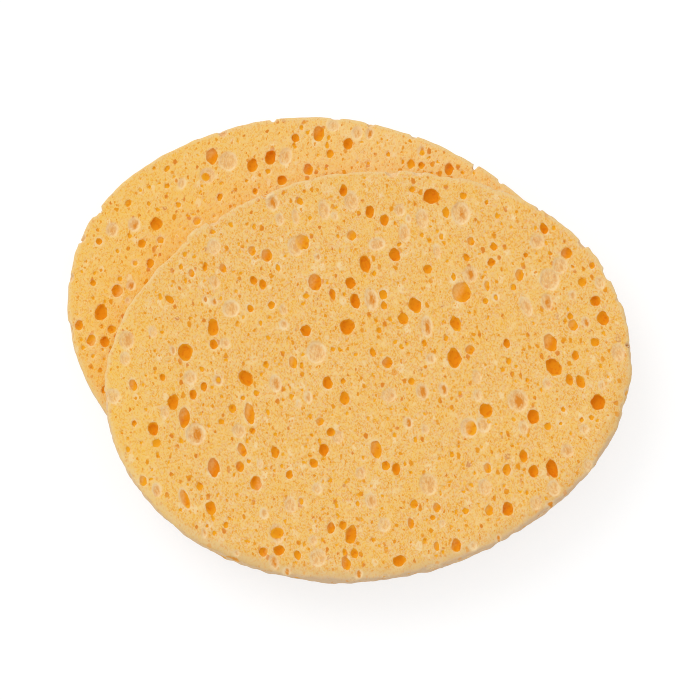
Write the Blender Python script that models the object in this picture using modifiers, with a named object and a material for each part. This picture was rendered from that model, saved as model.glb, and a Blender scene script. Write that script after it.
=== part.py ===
"""A pair of oval face sponges, one lying on the other.

Each sponge is one flat pad, stamped by the same oval die from a block of
cellulose foam, so its faces are level, its wall is upright and its rim is
rounded by the blade. The foam's larger pores are open where the cut goes
through them: they are cut here as sunk ellipsoids in both faces, in the wall
and in the rim. The pores that show on the two upper faces have their places
in the tables of shares, and the rest are scattered by a seeded rule.

Lengths are in metres. +X runs along the pair, +Y to the side where the lower
sponge shows, and +Z up. The origin is under the middle of the pair.
"""

import math
import random

import bmesh
import bpy
from mathutils import Matrix, Vector

# The die that stamps both sponges
SPONGE_LENGTH = 0.110
SPONGE_WIDTH = 0.085
SPONGE_THICKNESS = 0.008
RIM_RADIUS = 0.0011
OUTLINE_POINTS = 72
RIM_STEPS = 2

# Waves of the hand-made die: waves round the oval, cosine and sine shares of its radius
OUTLINE_WAVE_SHARES = (
    (3, 0.002, 0.0),
    (4, 0.0015, -0.002),
    (5, -0.002, 0.001),
    (6, -0.003, -0.001),
)

# How the upper sponge lies on the lower one
UPPER_TURN = math.radians(9.9)
LOWER_TURN = math.radians(-8.3)
UPPER_SHIFT_ALONG = 0.0087
UPPER_SHIFT_DOWN = 0.0128
RESTING_GAP = 0.0003

# The grid that each sponge's pore tables are laid out on: its middle, its turn and its stretch
UPPER_GRID_MIDDLE = (-0.0001, -0.0006)
UPPER_GRID_TURN = math.radians(-0.2)
UPPER_GRID_STRETCH_SHARES = (1.0, 1.008)
LOWER_GRID_MIDDLE = (0.0010, -0.0011)
LOWER_GRID_TURN = math.radians(-2.8)
LOWER_GRID_STRETCH_SHARES = (1.009, 1.017)

# The foam's pores: the widest and longest opening, and how far the web between two is kept
PORE_WIDTH = 0.00275
PORE_LENGTH = 0.00425
PORE_WEB = 0.0004
PORE_LEAN = math.radians(40)
PORE_DEPTH_SHARE = 1.1
PORE_SINK_SHARE = 0.35
OPENING_SHARE = 0.86
LARGE_PORE_SHARE = 0.75

# The pores of the wall and the nicks that open the rim
WALL_PORE_WIDTH = 0.0016
WALL_PORE_HEIGHT = 0.0021
NICK_WIDTH = 0.0022
NICK_DEPTH = 0.0012
NICK_HEIGHT = 0.0040

# Counts of the scattered pores, and the bare middle that the pair rests on
FACE_PORES = 36
WALL_PORES = 20
FACE_MARGIN = 0.0030
REST_PATCH_RADIUS = 0.0050
SMALLEST_PORE_SHARE = 0.38
SMALLEST_WALL_PORE_SHARE = 0.55
SHORTEST_PORE_SHARE = 0.75
LARGEST_LEAN_SHARE = 0.5
SMALLEST_REACH_SHARE = 0.001
SCATTER_TRIES = 4000

# Pores on the upper sponge's top: along, across, width, length and lean, each a share
UPPER_PORE_SHARES = (
    (-0.693, 0.535, 0.50, 0.40, -0.8),
    (-0.367, 0.560, 0.46, 0.43, -0.2),
    (-0.333, 0.500, 0.52, 0.53, 0.0),
    (-0.397, 0.425, 0.48, 0.40, -0.4),
    (-0.548, 0.366, 0.72, 0.80, 0.1),
    (-0.143, 0.905, 0.46, 0.40, -0.4),
    (0.027, 0.923, 0.52, 0.56, 0.4),
    (0.112, 0.798, 0.60, 0.62, 0.0),
    (0.162, 0.745, 0.60, 0.56, 0.2),
    (-0.156, 0.705, 0.76, 0.70, -0.3),
    (0.028, 0.693, 0.64, 0.50, 0.0),
    (0.286, 0.872, 0.46, 0.34, 0.0),
    (0.353, 0.820, 1.16, 0.76, 0.0),
    (0.062, 0.546, 0.78, 0.86, 0.0),
    (0.178, 0.566, 0.80, 0.65, -0.2),
    (-0.134, 0.510, 0.80, 0.80, 0.0),
    (-0.081, 0.415, 0.46, 0.56, 0.0),
    (-0.008, 0.465, 0.62, 0.52, 0.2),
    (0.000, 0.372, 0.62, 0.66, -0.2),
    (0.109, 0.384, 0.60, 0.48, 0.0),
    (0.292, 0.468, 0.60, 0.50, 0.0),
    (0.473, 0.798, 0.50, 0.40, -0.4),
    (0.397, 0.710, 0.50, 0.52, 0.2),
    (0.472, 0.566, 0.44, 0.44, -0.3),
    (0.554, 0.527, 0.52, 0.42, -0.3),
    (0.444, 0.496, 0.44, 0.40, -0.3),
    (0.535, 0.452, 0.62, 0.36, 0.0),
    (0.754, 0.570, 0.50, 0.55, -0.3),
    (0.822, 0.430, 0.74, 0.54, -0.9),
    (0.632, 0.366, 0.52, 0.60, 0.0),
    (0.414, 0.335, 0.76, 1.00, 0.0),
    (-0.768, 0.164, 0.42, 0.36, -0.2),
    (-0.668, 0.270, 0.88, 0.83, -0.1),
    (-0.556, 0.270, 0.42, 0.40, 0.0),
    (-0.665, 0.055, 0.48, 0.46, 0.0),
    (-0.743, 0.040, 0.70, 0.66, 0.2),
    (-0.713, -0.052, 0.72, 0.86, 0.4),
    (-0.833, -0.067, 0.68, 0.50, 0.2),
    (-0.831, -0.149, 0.60, 0.40, 0.0),
    (-0.576, -0.098, 0.46, 0.32, 0.0),
    (-0.527, -0.045, 0.54, 0.40, 0.3),
    (-0.457, 0.092, 0.86, 0.76, -0.6),
    (-0.374, 0.140, 0.44, 0.36, -0.2),
    (-0.467, -0.078, 0.62, 0.86, 0.0),
    (-0.466, -0.166, 0.42, 0.30, 0.0),
    (-0.518, -0.252, 0.42, 0.68, -0.4),
    (-0.396, -0.290, 0.56, 0.58, 0.0),
    (-0.632, -0.312, 0.66, 0.96, 0.1),
    (-0.204, 0.271, 0.76, 0.54, -0.5),
    (-0.046, 0.256, 0.98, 0.72, -0.1),
    (0.104, 0.318, 0.44, 0.34, 0.0),
    (0.168, 0.250, 0.78, 0.60, 0.1),
    (0.222, 0.304, 0.84, 0.74, -0.3),
    (0.250, 0.180, 0.64, 0.80, 0.1),
    (-0.273, 0.116, 0.50, 0.36, 0.0),
    (0.032, 0.114, 0.42, 0.44, -0.3),
    (-0.156, 0.001, 0.64, 0.64, -0.2),
    (0.078, 0.043, 0.56, 0.58, -0.2),
    (-0.103, -0.085, 0.64, 0.58, 0.3),
    (-0.210, -0.175, 0.54, 0.38, 0.0),
    (-0.176, -0.238, 0.56, 0.40, 0.6),
    (-0.213, -0.318, 0.68, 0.56, 0.0),
    (0.158, -0.058, 0.46, 0.36, 0.0),
    (0.190, -0.125, 0.46, 0.50, 0.0),
    (0.118, -0.260, 0.44, 0.46, 0.0),
    (0.333, 0.017, 1.00, 0.90, 0.0),
    (0.359, 0.182, 0.76, 0.72, -0.3),
    (0.399, 0.045, 0.54, 0.44, 0.0),
    (0.487, 0.268, 0.44, 0.30, 0.0),
    (0.600, 0.312, 0.42, 0.36, 0.0),
    (0.538, 0.046, 0.44, 0.46, 0.0),
    (0.534, -0.042, 0.42, 0.30, -0.3),
    (0.702, 0.010, 0.84, 0.78, 0.0),
    (0.696, -0.110, 0.92, 0.94, -0.3),
    (0.798, 0.080, 0.62, 0.50, 0.0),
    (0.862, 0.279, 0.54, 0.42, -0.2),
    (0.898, 0.177, 0.72, 0.50, 0.0),
    (0.915, 0.088, 0.84, 0.64, -0.4),
    (0.869, -0.022, 0.54, 0.44, -0.2),
    (0.786, -0.070, 0.48, 0.46, 0.0),
    (0.748, -0.182, 0.42, 0.54, 0.0),
    (0.542, -0.240, 0.50, 0.64, 0.0),
    (0.417, -0.260, 0.86, 0.66, 0.0),
    (0.589, -0.330, 0.82, 0.70, 0.0),
    (0.839, -0.312, 0.96, 0.78, 0.0),
    (0.342, -0.332, 0.62, 0.62, 0.0),
    (-0.760, -0.440, 0.40, 0.90, -0.3),
    (-0.697, -0.390, 0.46, 0.40, 0.2),
    (-0.669, -0.504, 0.62, 0.60, 0.0),
    (-0.484, -0.425, 0.58, 0.76, -0.1),
    (-0.357, -0.408, 0.52, 0.42, 0.0),
    (-0.439, -0.678, 0.86, 0.44, 0.0),
    (-0.442, -0.762, 0.74, 0.46, 0.0),
    (-0.506, -0.762, 0.54, 0.40, 0.0),
    (-0.377, -0.800, 0.48, 0.44, -0.3),
    (-0.259, -0.374, 0.58, 0.46, 0.2),
    (-0.018, -0.350, 0.78, 0.80, 0.1),
    (0.008, -0.446, 0.50, 0.42, 0.2),
    (0.046, -0.472, 0.50, 0.56, 0.1),
    (0.088, -0.650, 0.54, 0.42, 0.0),
    (-0.236, -0.698, 0.44, 0.50, 0.4),
    (-0.191, -0.690, 0.44, 0.38, 0.0),
    (-0.162, -0.755, 0.60, 0.78, 0.6),
    (0.172, -0.690, 0.50, 0.46, 0.0),
    (0.278, -0.730, 0.44, 0.32, 0.0),
    (0.367, -0.750, 0.58, 0.48, 0.2),
    (-0.165, -0.846, 0.42, 0.48, -0.2),
    (-0.206, -0.888, 0.44, 0.50, -0.3),
    (-0.003, -0.910, 0.90, 0.52, -0.2),
    (0.220, -0.886, 0.62, 0.52, 0.2),
    (0.457, -0.563, 0.60, 0.50, 0.3),
    (0.527, -0.509, 0.54, 0.60, 0.0),
    (0.557, -0.593, 0.62, 0.50, 0.3),
    (0.627, -0.593, 0.66, 0.82, 0.0),
    (0.637, -0.388, 0.52, 0.34, 0.4),
    (0.434, -0.752, 0.66, 0.62, 0.1),
)

# Pores on the part of the lower sponge's top that shows, in the same shares
LOWER_PORE_SHARES = (
    (-0.717, 0.124, 0.54, 0.44, 0.0),
    (-0.770, -0.005, 0.48, 0.44, 0.0),
    (-0.912, -0.026, 0.44, 0.32, 0.0),
    (-0.820, -0.050, 0.84, 0.52, -0.8),
    (-0.861, -0.160, 0.88, 0.76, 0.0),
    (-0.928, -0.242, 0.50, 0.56, -0.2),
    (-0.808, -0.226, 0.62, 0.42, 0.0),
    (-0.873, -0.305, 0.54, 0.56, 0.0),
    (-0.821, -0.296, 0.56, 0.48, -0.3),
    (-0.925, 0.180, 0.48, 0.32, 0.0),
    (-0.763, 0.210, 0.54, 0.42, 0.0),
    (-0.720, 0.315, 0.76, 0.66, 0.4),
    (-0.686, 0.238, 0.48, 0.36, 0.0),
    (-0.803, 0.295, 0.60, 0.52, 0.0),
    (-0.838, 0.391, 0.40, 0.42, 0.0),
    (-0.572, 0.368, 0.60, 0.34, -0.4),
    (-0.505, 0.510, 0.42, 0.38, 0.0),
    (-0.570, 0.592, 0.52, 0.34, 0.0),
    (-0.560, 0.697, 0.48, 0.74, 0.0),
    (-0.407, 0.693, 0.72, 0.62, -0.2),
    (-0.347, 0.748, 0.76, 0.70, 0.0),
    (-0.267, 0.864, 0.56, 0.40, 0.0),
    (-0.182, 0.900, 0.72, 0.70, 0.0),
    (-0.128, 0.823, 0.54, 0.42, 0.3),
    (-0.070, 0.880, 0.70, 0.56, -0.2),
    (-0.284, 0.646, 0.64, 0.50, 0.0),
    (-0.193, 0.720, 0.66, 0.50, -0.3),
    (0.178, 0.848, 0.60, 0.44, 0.0),
    (0.230, 0.846, 0.44, 0.36, 0.0),
    (0.330, 0.860, 0.68, 0.64, -0.3),
)

# Nicks where a pore opens the top rim: along and across, each a share
UPPER_NICK_SHARES = (
    (0.870, 0.490),
    (0.985, 0.170),
    (0.998, -0.065),
    (0.960, -0.280),
    (-0.992, 0.120),
    (-0.240, 0.970),
    (0.220, 0.975),
    (-0.170, -0.985),
)
LOWER_NICK_SHARES = (
    (-0.540, 0.842),
    (-0.942, 0.335),
    (-0.999, -0.030),
    (0.455, 0.890),
    (0.550, 0.835),
    (0.008, 1.000),
    (0.170, 0.985),
    (-0.130, 0.992),
)

# Foam colours, as linear shares of white, and the dry foam's dull finish
UPPER_FOAM_COLOUR = (0.847, 0.485, 0.144, 1.0)
LOWER_FOAM_COLOUR = (0.871, 0.503, 0.138, 1.0)
FOAM_ROUGHNESS = 0.95

HALF_LENGTH = SPONGE_LENGTH / 2
HALF_WIDTH = SPONGE_WIDTH / 2


def clear_scene():
    """Removes whatever the open file holds."""
    for thing in list(bpy.data.objects):
        bpy.data.objects.remove(thing, do_unlink=True)


def wave(angle):
    """How far the die's oval swells at an angle, as a share of its radius."""
    swell = 1.0
    for count, cosine, sine in OUTLINE_WAVE_SHARES:
        swell += cosine * math.cos(count * angle) + sine * math.sin(count * angle)
    return swell


def outline_point(angle):
    """A point of the oval outline in a sponge's own plane."""
    swell = wave(angle)
    return Vector((HALF_LENGTH * swell * math.cos(angle), HALF_WIDTH * swell * math.sin(angle)))


def reach_share(x, y):
    """0 at a sponge's middle and 1 on its outline."""
    angle = math.atan2(y / HALF_WIDTH, x / HALF_LENGTH)
    return math.hypot(x / HALF_LENGTH, y / HALF_WIDTH) / wave(angle)


def spread_round(x, y, radius):
    """Moves a place of the oval outwards, so that a circle of this radius stays bare in its middle."""
    reach = max(reach_share(x, y), SMALLEST_REACH_SHARE)
    bare = radius / (math.hypot(x, y) / reach)
    moved = bare + reach * (1 - bare)
    return x * moved / reach, y * moved / reach


class Grid:
    """The oval grid that a sponge's pore tables are laid out on."""

    def __init__(self, middle, turn, stretch_shares):
        self.middle = Vector(middle)
        self.turn = turn
        self.stretch_shares = stretch_shares

    def spot(self, along, across):
        """The place of a pair of shares in the sponge's own plane."""
        stretch_along, stretch_across = self.stretch_shares
        plain = Vector((along * HALF_LENGTH * stretch_along, across * HALF_WIDTH * stretch_across))
        return self.middle + Matrix.Rotation(self.turn, 2) @ plain


def outline_angles():
    return [2 * math.pi * i / OUTLINE_POINTS for i in range(OUTLINE_POINTS)]


def sponge_places():
    """The two sponges' placing, with the origin under the middle of the pair."""
    turns = {"lower": LOWER_TURN, "upper": UPPER_TURN}
    centres = {"lower": Vector((0, 0)), "upper": Vector((UPPER_SHIFT_ALONG, -UPPER_SHIFT_DOWN))}
    spots = []
    for name, turn in turns.items():
        plane = Matrix.Rotation(turn, 2)
        spots += [centres[name] + plane @ outline_point(angle) for angle in outline_angles()]
    middle_x = (min(p.x for p in spots) + max(p.x for p in spots)) / 2
    middle_y = (min(p.y for p in spots) + max(p.y for p in spots)) / 2
    heights = {"lower": 0.0, "upper": SPONGE_THICKNESS + RESTING_GAP}
    places = {}
    for name, turn in turns.items():
        spot = Vector((centres[name].x - middle_x, centres[name].y - middle_y, heights[name]))
        places[name] = Matrix.Translation(spot) @ Matrix.Rotation(turn, 4, "Z")
    return places


def foam_material(name, colour):
    """Dry cellulose foam."""
    material = bpy.data.materials.new(name)
    material.use_nodes = True
    shader = material.node_tree.nodes["Principled BSDF"]
    shader.inputs["Base Color"].default_value = colour
    shader.inputs["Roughness"].default_value = FOAM_ROUGHNESS
    shader.inputs["Metallic"].default_value = 0.0
    return material


def stamped_pad(name):
    """The oval pad that the die stamps, before its pores are opened."""
    pad = bmesh.new()
    bmesh.ops.create_cone(
        pad,
        cap_ends=True,
        segments=OUTLINE_POINTS,
        radius1=1.0,
        radius2=1.0,
        depth=SPONGE_THICKNESS,
        matrix=Matrix.Translation((0, 0, SPONGE_THICKNESS / 2)),
    )
    for corner in pad.verts:
        spot = outline_point(math.atan2(corner.co.y, corner.co.x))
        corner.co.x = spot.x
        corner.co.y = spot.y
    mesh = bpy.data.meshes.new(name)
    pad.to_mesh(mesh)
    pad.free()
    mesh.shade_smooth()
    mesh.set_sharp_from_angle(angle=math.radians(35))
    return mesh


class Pores:
    """The ellipsoids that open one sponge's pores, gathered in one mesh."""

    def __init__(self):
        self.mesh = bmesh.new()
        self.taken = []

    def cut(self, centre, radii, turn=0.0, large=False):
        """Adds one ellipsoid, with more facets on a large one."""
        shape = Matrix.Translation(centre) @ Matrix.Rotation(turn, 4, "Z") @ Matrix.Diagonal((*radii, 1.0))
        bmesh.ops.create_uvsphere(
            self.mesh,
            u_segments=10 if large else 8,
            v_segments=4 if large else 3,
            radius=1.0,
            matrix=shape,
        )
        self.taken.append((centre, max(radii)))

    def has_room(self, centre, reach):
        """Whether a new pore would leave a web of foam to every other."""
        return all((centre - spot).length > reach + other + PORE_WEB for spot, other in self.taken)

    def face_pore(self, x, y, width_share, length_share, lean_share, top):
        """Where a face's pore goes and how large it is: its centre, radii and turn."""
        across = PORE_WIDTH * width_share / 2 / OPENING_SHARE
        along = PORE_LENGTH * length_share / 2 / OPENING_SHARE
        deep = PORE_DEPTH_SHARE * (across + along) / 2
        sink = PORE_SINK_SHARE * deep
        height = SPONGE_THICKNESS - sink if top else sink
        return Vector((x, y, height)), (across, along, deep), -lean_share * PORE_LEAN

    def from_table(self, rows, grid):
        """The pores of a top face that have a place of their own."""
        for along, across, width, length, lean in rows:
            x, y = grid.spot(along, across)
            centre, radii, turn = self.face_pore(x, y, width, length, lean, top=True)
            self.cut(centre, radii, turn, large=width > LARGE_PORE_SHARE)

    def nicks(self, rows, grid):
        """Pores that open the top rim, each on the outline in the direction given."""
        for along, across in rows:
            x, y = grid.spot(along, across)
            spot = outline_point(math.atan2(y / HALF_WIDTH, x / HALF_LENGTH))
            facing = math.atan2(spot.y / HALF_WIDTH**2, spot.x / HALF_LENGTH**2)
            centre = Vector((spot.x, spot.y, SPONGE_THICKNESS))
            self.cut(centre, (NICK_DEPTH, NICK_WIDTH / 2, NICK_HEIGHT / 2), facing)

    def wall(self, dice):
        """Pores scattered round the wall, clear of the rims."""
        made = 0
        for _ in range(SCATTER_TRIES):
            if made == WALL_PORES:
                break
            spot = outline_point(dice.uniform(0, 2 * math.pi))
            size = dice.uniform(SMALLEST_WALL_PORE_SHARE, 1.0)
            tall = WALL_PORE_HEIGHT * size / 2
            lowest = RIM_RADIUS + tall
            height = dice.uniform(lowest, SPONGE_THICKNESS - lowest)
            centre = Vector((spot.x, spot.y, height))
            if self.has_room(centre, tall):
                self.cut(centre, (WALL_PORE_WIDTH * size / 2, WALL_PORE_WIDTH * size / 2, tall))
                made += 1

    def scatter(self, dice, count, top, allowed, bare_radius=0.0):
        """Pores scattered over the part of a face that the rule allows, outside a bare middle."""
        made = 0
        for _ in range(SCATTER_TRIES):
            if made == count:
                break
            x = dice.uniform(-HALF_LENGTH, HALF_LENGTH)
            y = dice.uniform(-HALF_WIDTH, HALF_WIDTH)
            width = SMALLEST_PORE_SHARE + (1 - SMALLEST_PORE_SHARE) * dice.random() ** 3
            length = width * dice.uniform(SHORTEST_PORE_SHARE, 1.0)
            lean = dice.uniform(-LARGEST_LEAN_SHARE, LARGEST_LEAN_SHARE)
            if bare_radius:
                x, y = spread_round(x, y, bare_radius + PORE_LENGTH / 2)
            centre, radii, turn = self.face_pore(x, y, width, length, lean, top)
            inside = reach_share(x, y) < 1 - (FACE_MARGIN + max(radii)) / HALF_WIDTH
            if inside and allowed(x, y, max(radii)) and self.has_room(centre, max(radii)):
                self.cut(centre, radii, turn, large=width > LARGE_PORE_SHARE)
                made += 1

    def as_object(self, name, collection):
        """The cutter for the Boolean, which neither renders nor is built."""
        mesh = bpy.data.meshes.new(name)
        self.mesh.to_mesh(mesh)
        self.mesh.free()
        cutter = bpy.data.objects.new(name, mesh)
        cutter.hide_render = True
        cutter.display_type = "WIRE"
        collection.objects.link(cutter)
        return cutter


def make_sponge(name, place, material, pores, parts, cutters, parent):
    """One sponge: the stamped pad with its rim rounded and its pores opened."""
    sponge = bpy.data.objects.new(name, stamped_pad(name))
    parts.objects.link(sponge)
    sponge.data.materials.append(material)
    sponge.parent = parent
    sponge.location = place.to_translation()
    sponge.rotation_euler = place.to_euler()

    rim = sponge.modifiers.new("rim", "BEVEL")
    rim.limit_method = "ANGLE"
    rim.angle_limit = math.radians(60)
    rim.width = RIM_RADIUS
    rim.segments = RIM_STEPS

    cutter = pores.as_object(name + "_pores", cutters)
    cutter.parent = sponge
    opened = sponge.modifiers.new("pores", "BOOLEAN")
    opened.operation = "DIFFERENCE"
    opened.solver = "EXACT"
    opened.use_self = True
    opened.object = cutter
    return sponge


def anywhere(x, y, reach):
    return True


def build():
    clear_scene()
    parts = bpy.data.collections.new("face_sponges")
    cutters = bpy.data.collections.new("pore_cutters")
    bpy.context.scene.collection.children.link(parts)
    bpy.context.scene.collection.children.link(cutters)
    pair = bpy.data.objects.new("sponge_pair", None)
    parts.objects.link(pair)
    places = sponge_places()
    from_lower_to_upper = places["upper"].inverted() @ places["lower"]

    def under_the_upper(x, y, reach):
        """Whether a point of the lower sponge's top is covered by the upper one."""
        seen = from_lower_to_upper @ Vector((x, y, 0))
        return reach_share(seen.x, seen.y) < 1 - reach / HALF_WIDTH

    lower_grid = Grid(LOWER_GRID_MIDDLE, LOWER_GRID_TURN, LOWER_GRID_STRETCH_SHARES)
    lower_pores = Pores()
    lower_pores.from_table(LOWER_PORE_SHARES, lower_grid)
    lower_pores.nicks(LOWER_NICK_SHARES, lower_grid)
    dice = random.Random(11)
    lower_pores.wall(dice)
    lower_pores.scatter(dice, FACE_PORES, True, under_the_upper)
    lower_pores.scatter(dice, FACE_PORES, False, anywhere, REST_PATCH_RADIUS)

    upper_grid = Grid(UPPER_GRID_MIDDLE, UPPER_GRID_TURN, UPPER_GRID_STRETCH_SHARES)
    upper_pores = Pores()
    upper_pores.from_table(UPPER_PORE_SHARES, upper_grid)
    upper_pores.nicks(UPPER_NICK_SHARES, upper_grid)
    dice = random.Random(29)
    upper_pores.wall(dice)
    upper_pores.scatter(dice, FACE_PORES, False, anywhere)

    lower_foam = foam_material("lower_foam", LOWER_FOAM_COLOUR)
    upper_foam = foam_material("upper_foam", UPPER_FOAM_COLOUR)
    make_sponge("lower_sponge", places["lower"], lower_foam, lower_pores, parts, cutters, pair)
    make_sponge("upper_sponge", places["upper"], upper_foam, upper_pores, parts, cutters, pair)
    bpy.context.view_layer.update()


build()
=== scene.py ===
import math
import random
from collections import namedtuple

import bmesh
import bpy
import numpy as np
from mathutils import Matrix, Vector, noise


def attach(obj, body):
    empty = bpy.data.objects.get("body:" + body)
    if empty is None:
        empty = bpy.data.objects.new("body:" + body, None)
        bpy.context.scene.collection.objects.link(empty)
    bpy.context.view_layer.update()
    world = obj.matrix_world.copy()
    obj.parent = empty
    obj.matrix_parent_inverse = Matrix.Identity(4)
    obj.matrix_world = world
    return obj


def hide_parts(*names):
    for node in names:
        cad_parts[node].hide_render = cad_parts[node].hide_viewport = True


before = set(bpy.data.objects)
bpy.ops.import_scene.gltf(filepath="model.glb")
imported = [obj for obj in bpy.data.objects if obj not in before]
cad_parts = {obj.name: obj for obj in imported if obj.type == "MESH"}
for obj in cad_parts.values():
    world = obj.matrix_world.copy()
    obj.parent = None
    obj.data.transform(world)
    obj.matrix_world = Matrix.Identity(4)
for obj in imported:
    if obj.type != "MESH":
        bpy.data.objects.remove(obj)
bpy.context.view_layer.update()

# Lower sponge
# A flat oval pad of dry cellulose foam, 8 mm thick, stamped from a block with its twin.
# The blade leaves level faces and an upright wall, and opens whatever pores it meets:
# deep holes, shallow bowls lined with a pale film, and specks.
SPONGE_LENGTH = 0.110
SPONGE_WIDTH = 0.085
SPONGE_THICKNESS = 0.008
RIM_RADIUS = 0.0007
HALF_LENGTH = SPONGE_LENGTH / 2
HALF_WIDTH = SPONGE_WIDTH / 2
OUTLINE_POINTS = 288
RIM_STEPS = 5
PAD_CUTS = 11
PAD_CUT_STEP = 0.0049

# Waves of the hand-made die: waves round the oval, cosine and sine shares of its radius
OUTLINE_WAVE_SHARES = (
    (3, 0.002, 0.0),
    (4, 0.0015, -0.002),
    (5, -0.002, 0.001),
    (6, -0.003, -0.001),
)

# Where the sponge lies, in the frame's own axes
LOWER_TURN = math.radians(-8.3)
LOWER_CENTRE = (-0.0044078, 0.0064299, 0.0)

# The grid that its pore tables are laid out on: its middle, its turn and its stretch
LOWER_GRID_MIDDLE = (0.0010, -0.0011)
LOWER_GRID_TURN = math.radians(-2.8)
LOWER_GRID_STRETCH_SHARES = (1.009, 1.017)


class Grid:
    """The oval grid that a sponge's pore tables are laid out on."""

    def __init__(self, middle, turn, stretch_shares):
        self.middle = Vector(middle)
        self.turn = turn
        self.stretch_shares = stretch_shares

    def spot(self, along, across):
        """The place of a pair of shares in the sponge's own plane."""
        stretch_along, stretch_across = self.stretch_shares
        plain = Vector((along * HALF_LENGTH * stretch_along, across * HALF_WIDTH * stretch_across))
        return self.middle + Matrix.Rotation(self.turn, 2) @ plain


def wave(angle):
    """How far the die's oval swells at an angle, as a share of its radius."""
    swell = 1.0
    for count, cosine, sine in OUTLINE_WAVE_SHARES:
        swell = swell + cosine * np.cos(count * angle) + sine * np.sin(count * angle)
    return swell


def outline_point(angle):
    """A point of the oval outline in a sponge's own plane."""
    swell = wave(angle)
    return HALF_LENGTH * swell * np.cos(angle), HALF_WIDTH * swell * np.sin(angle)


def reach_share(x, y):
    """0 at a sponge's middle and 1 on its outline."""
    angle = np.arctan2(y / HALF_WIDTH, x / HALF_LENGTH)
    return np.hypot(x / HALF_LENGTH, y / HALF_WIDTH) / wave(angle)


# The least that a length is divided by
NO_LENGTH = 1e-6


def to_rim(x, y):
    """How far inside the outline a point is, along the line from the sponge's middle."""
    return np.hypot(x, y) * (1 / np.maximum(reach_share(x, y), NO_LENGTH) - 1)


# The kinds of pore, and the parts of the skin that they open
OPEN = "open"
BOWL = "bowl"
SPECK = "speck"
TOP = 0
UNDER = 1
WALL = 2

# Pores: the size that a share of one stands for, and how they sit in the skin
PORE_WIDTH = 0.00275
PORE_LENGTH = 0.00425
PORE_LEAN = math.radians(40)
OPEN_DEPTH_SHARES = (0.50, 0.80)
OPEN_SINK_SHARE = 0.22
BOWL_DEPTH_SHARE = 0.32
BOWL_LIFT_SHARE = 0.5
BOWL_SPREAD_SHARE = 1.15
OPEN_GROWTH = 0.00003
LINED_RISE_SHARE = 0.25
SPECK_DEPTH_SHARE = 0.5
SPECK_SINK_SHARE = 0.15

# How strong the pale ring round a pore may be, partly its pale lip and partly a painted highlight, and how
# orange a bowl's middle
OPEN_HALO_SHARES = (0.0, 0.8)
BOWL_HALO_SHARES = (0.35, 0.65)
BOWL_HALO_GAIN_SHARE = 0.2
BOWL_HALO_MOST_SHARE = 0.9
SPECK_HALO_SHARES = (0.0, 0.3)
BOWL_CORE_SHARES = (0.10, 0.45)
ORANGE_BOWL_SHARE = 0.35

# One opening: its shape's centre and half sizes, its half sizes at the skin, its turn,
# how strong the pale ring round it is (partly its lip, partly painted highlight), and how orange a bowl's
# middle or how lined a hole is
Pore = namedtuple("Pore", "kind side centre radii mouth turn halo core")


def face_pore(kind, side, spot, size, lean, dice, core=0.0):
    """A pore of a level face, from its opening's width and length in metres."""
    spread = BOWL_SPREAD_SHARE if kind == BOWL else 1.0
    growth = OPEN_GROWTH * (1 - abs(core)) if kind == OPEN else 0
    mouth = (size[0] / 2 * spread + growth, size[1] / 2 * spread + growth)
    middle = (mouth[0] + mouth[1]) / 2
    if kind == BOWL:
        deep = BOWL_DEPTH_SHARE * middle / (1 - BOWL_LIFT_SHARE)
        sink = -BOWL_LIFT_SHARE * deep
        swell = 1 / math.sqrt(1 - BOWL_LIFT_SHARE**2)
        halo = dice.uniform(*BOWL_HALO_SHARES) + BOWL_HALO_GAIN_SHARE * middle / PORE_WIDTH
        halo = min(halo, BOWL_HALO_MOST_SHARE)
        core = core or dice.uniform(*BOWL_CORE_SHARES)
    else:
        deep = middle * (dice.uniform(*OPEN_DEPTH_SHARES) if kind == OPEN else SPECK_DEPTH_SHARE)
        deep *= 1 - LINED_RISE_SHARE * abs(core)
        sink = deep * (OPEN_SINK_SHARE if kind == OPEN else SPECK_SINK_SHARE)
        swell = 1.0
        halo = dice.uniform(*(OPEN_HALO_SHARES if kind == OPEN else SPECK_HALO_SHARES))
        halo = max(halo, abs(core))
    height = SPONGE_THICKNESS - sink if side == TOP else sink
    radii = (mouth[0] * swell, mouth[1] * swell, deep)
    return Pore(kind, side, (spot[0], spot[1], height), radii, mouth, -lean * PORE_LEAN, halo, core)


def table_pores(kind, rows, grid, dice):
    """The pores of a top face that have a place of their own. A row's last shares are 0 if left out."""
    made = []
    for along, across, width, length, *others in rows:
        lean, core = (*others, 0.0, 0.0)[:2]
        spot = grid.spot(along, across)
        size = (width * PORE_WIDTH, length * PORE_LENGTH)
        made.append(face_pore(kind, TOP, spot, size, lean - grid.turn / PORE_LEAN, dice, core))
    return made


def wall_pore(kind, angle, height, width, tall, deep):
    """A pore that opens the wall or the rim."""
    x, y = outline_point(angle)
    facing = math.atan2(y / HALF_WIDTH**2, x / HALF_LENGTH**2)
    mouth = (width / 2, tall / 2)
    return Pore(kind, WALL, (x, y, height), (deep, *mouth), mouth, facing, 0.0, 0.0)


# What the pores drawn by chance are like: tries for each, how long and how far turned they are,
# and how much foam stays between them and the rim or each other
SCATTER_TRIES = 60
LENGTH_SHARES = (0.9, 1.5)
LEAN_SHARE = 0.6
RIM_MARGIN = 0.0012
OPEN_WEB = 0.0004
CLOSE_WEB = 0.0002


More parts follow.
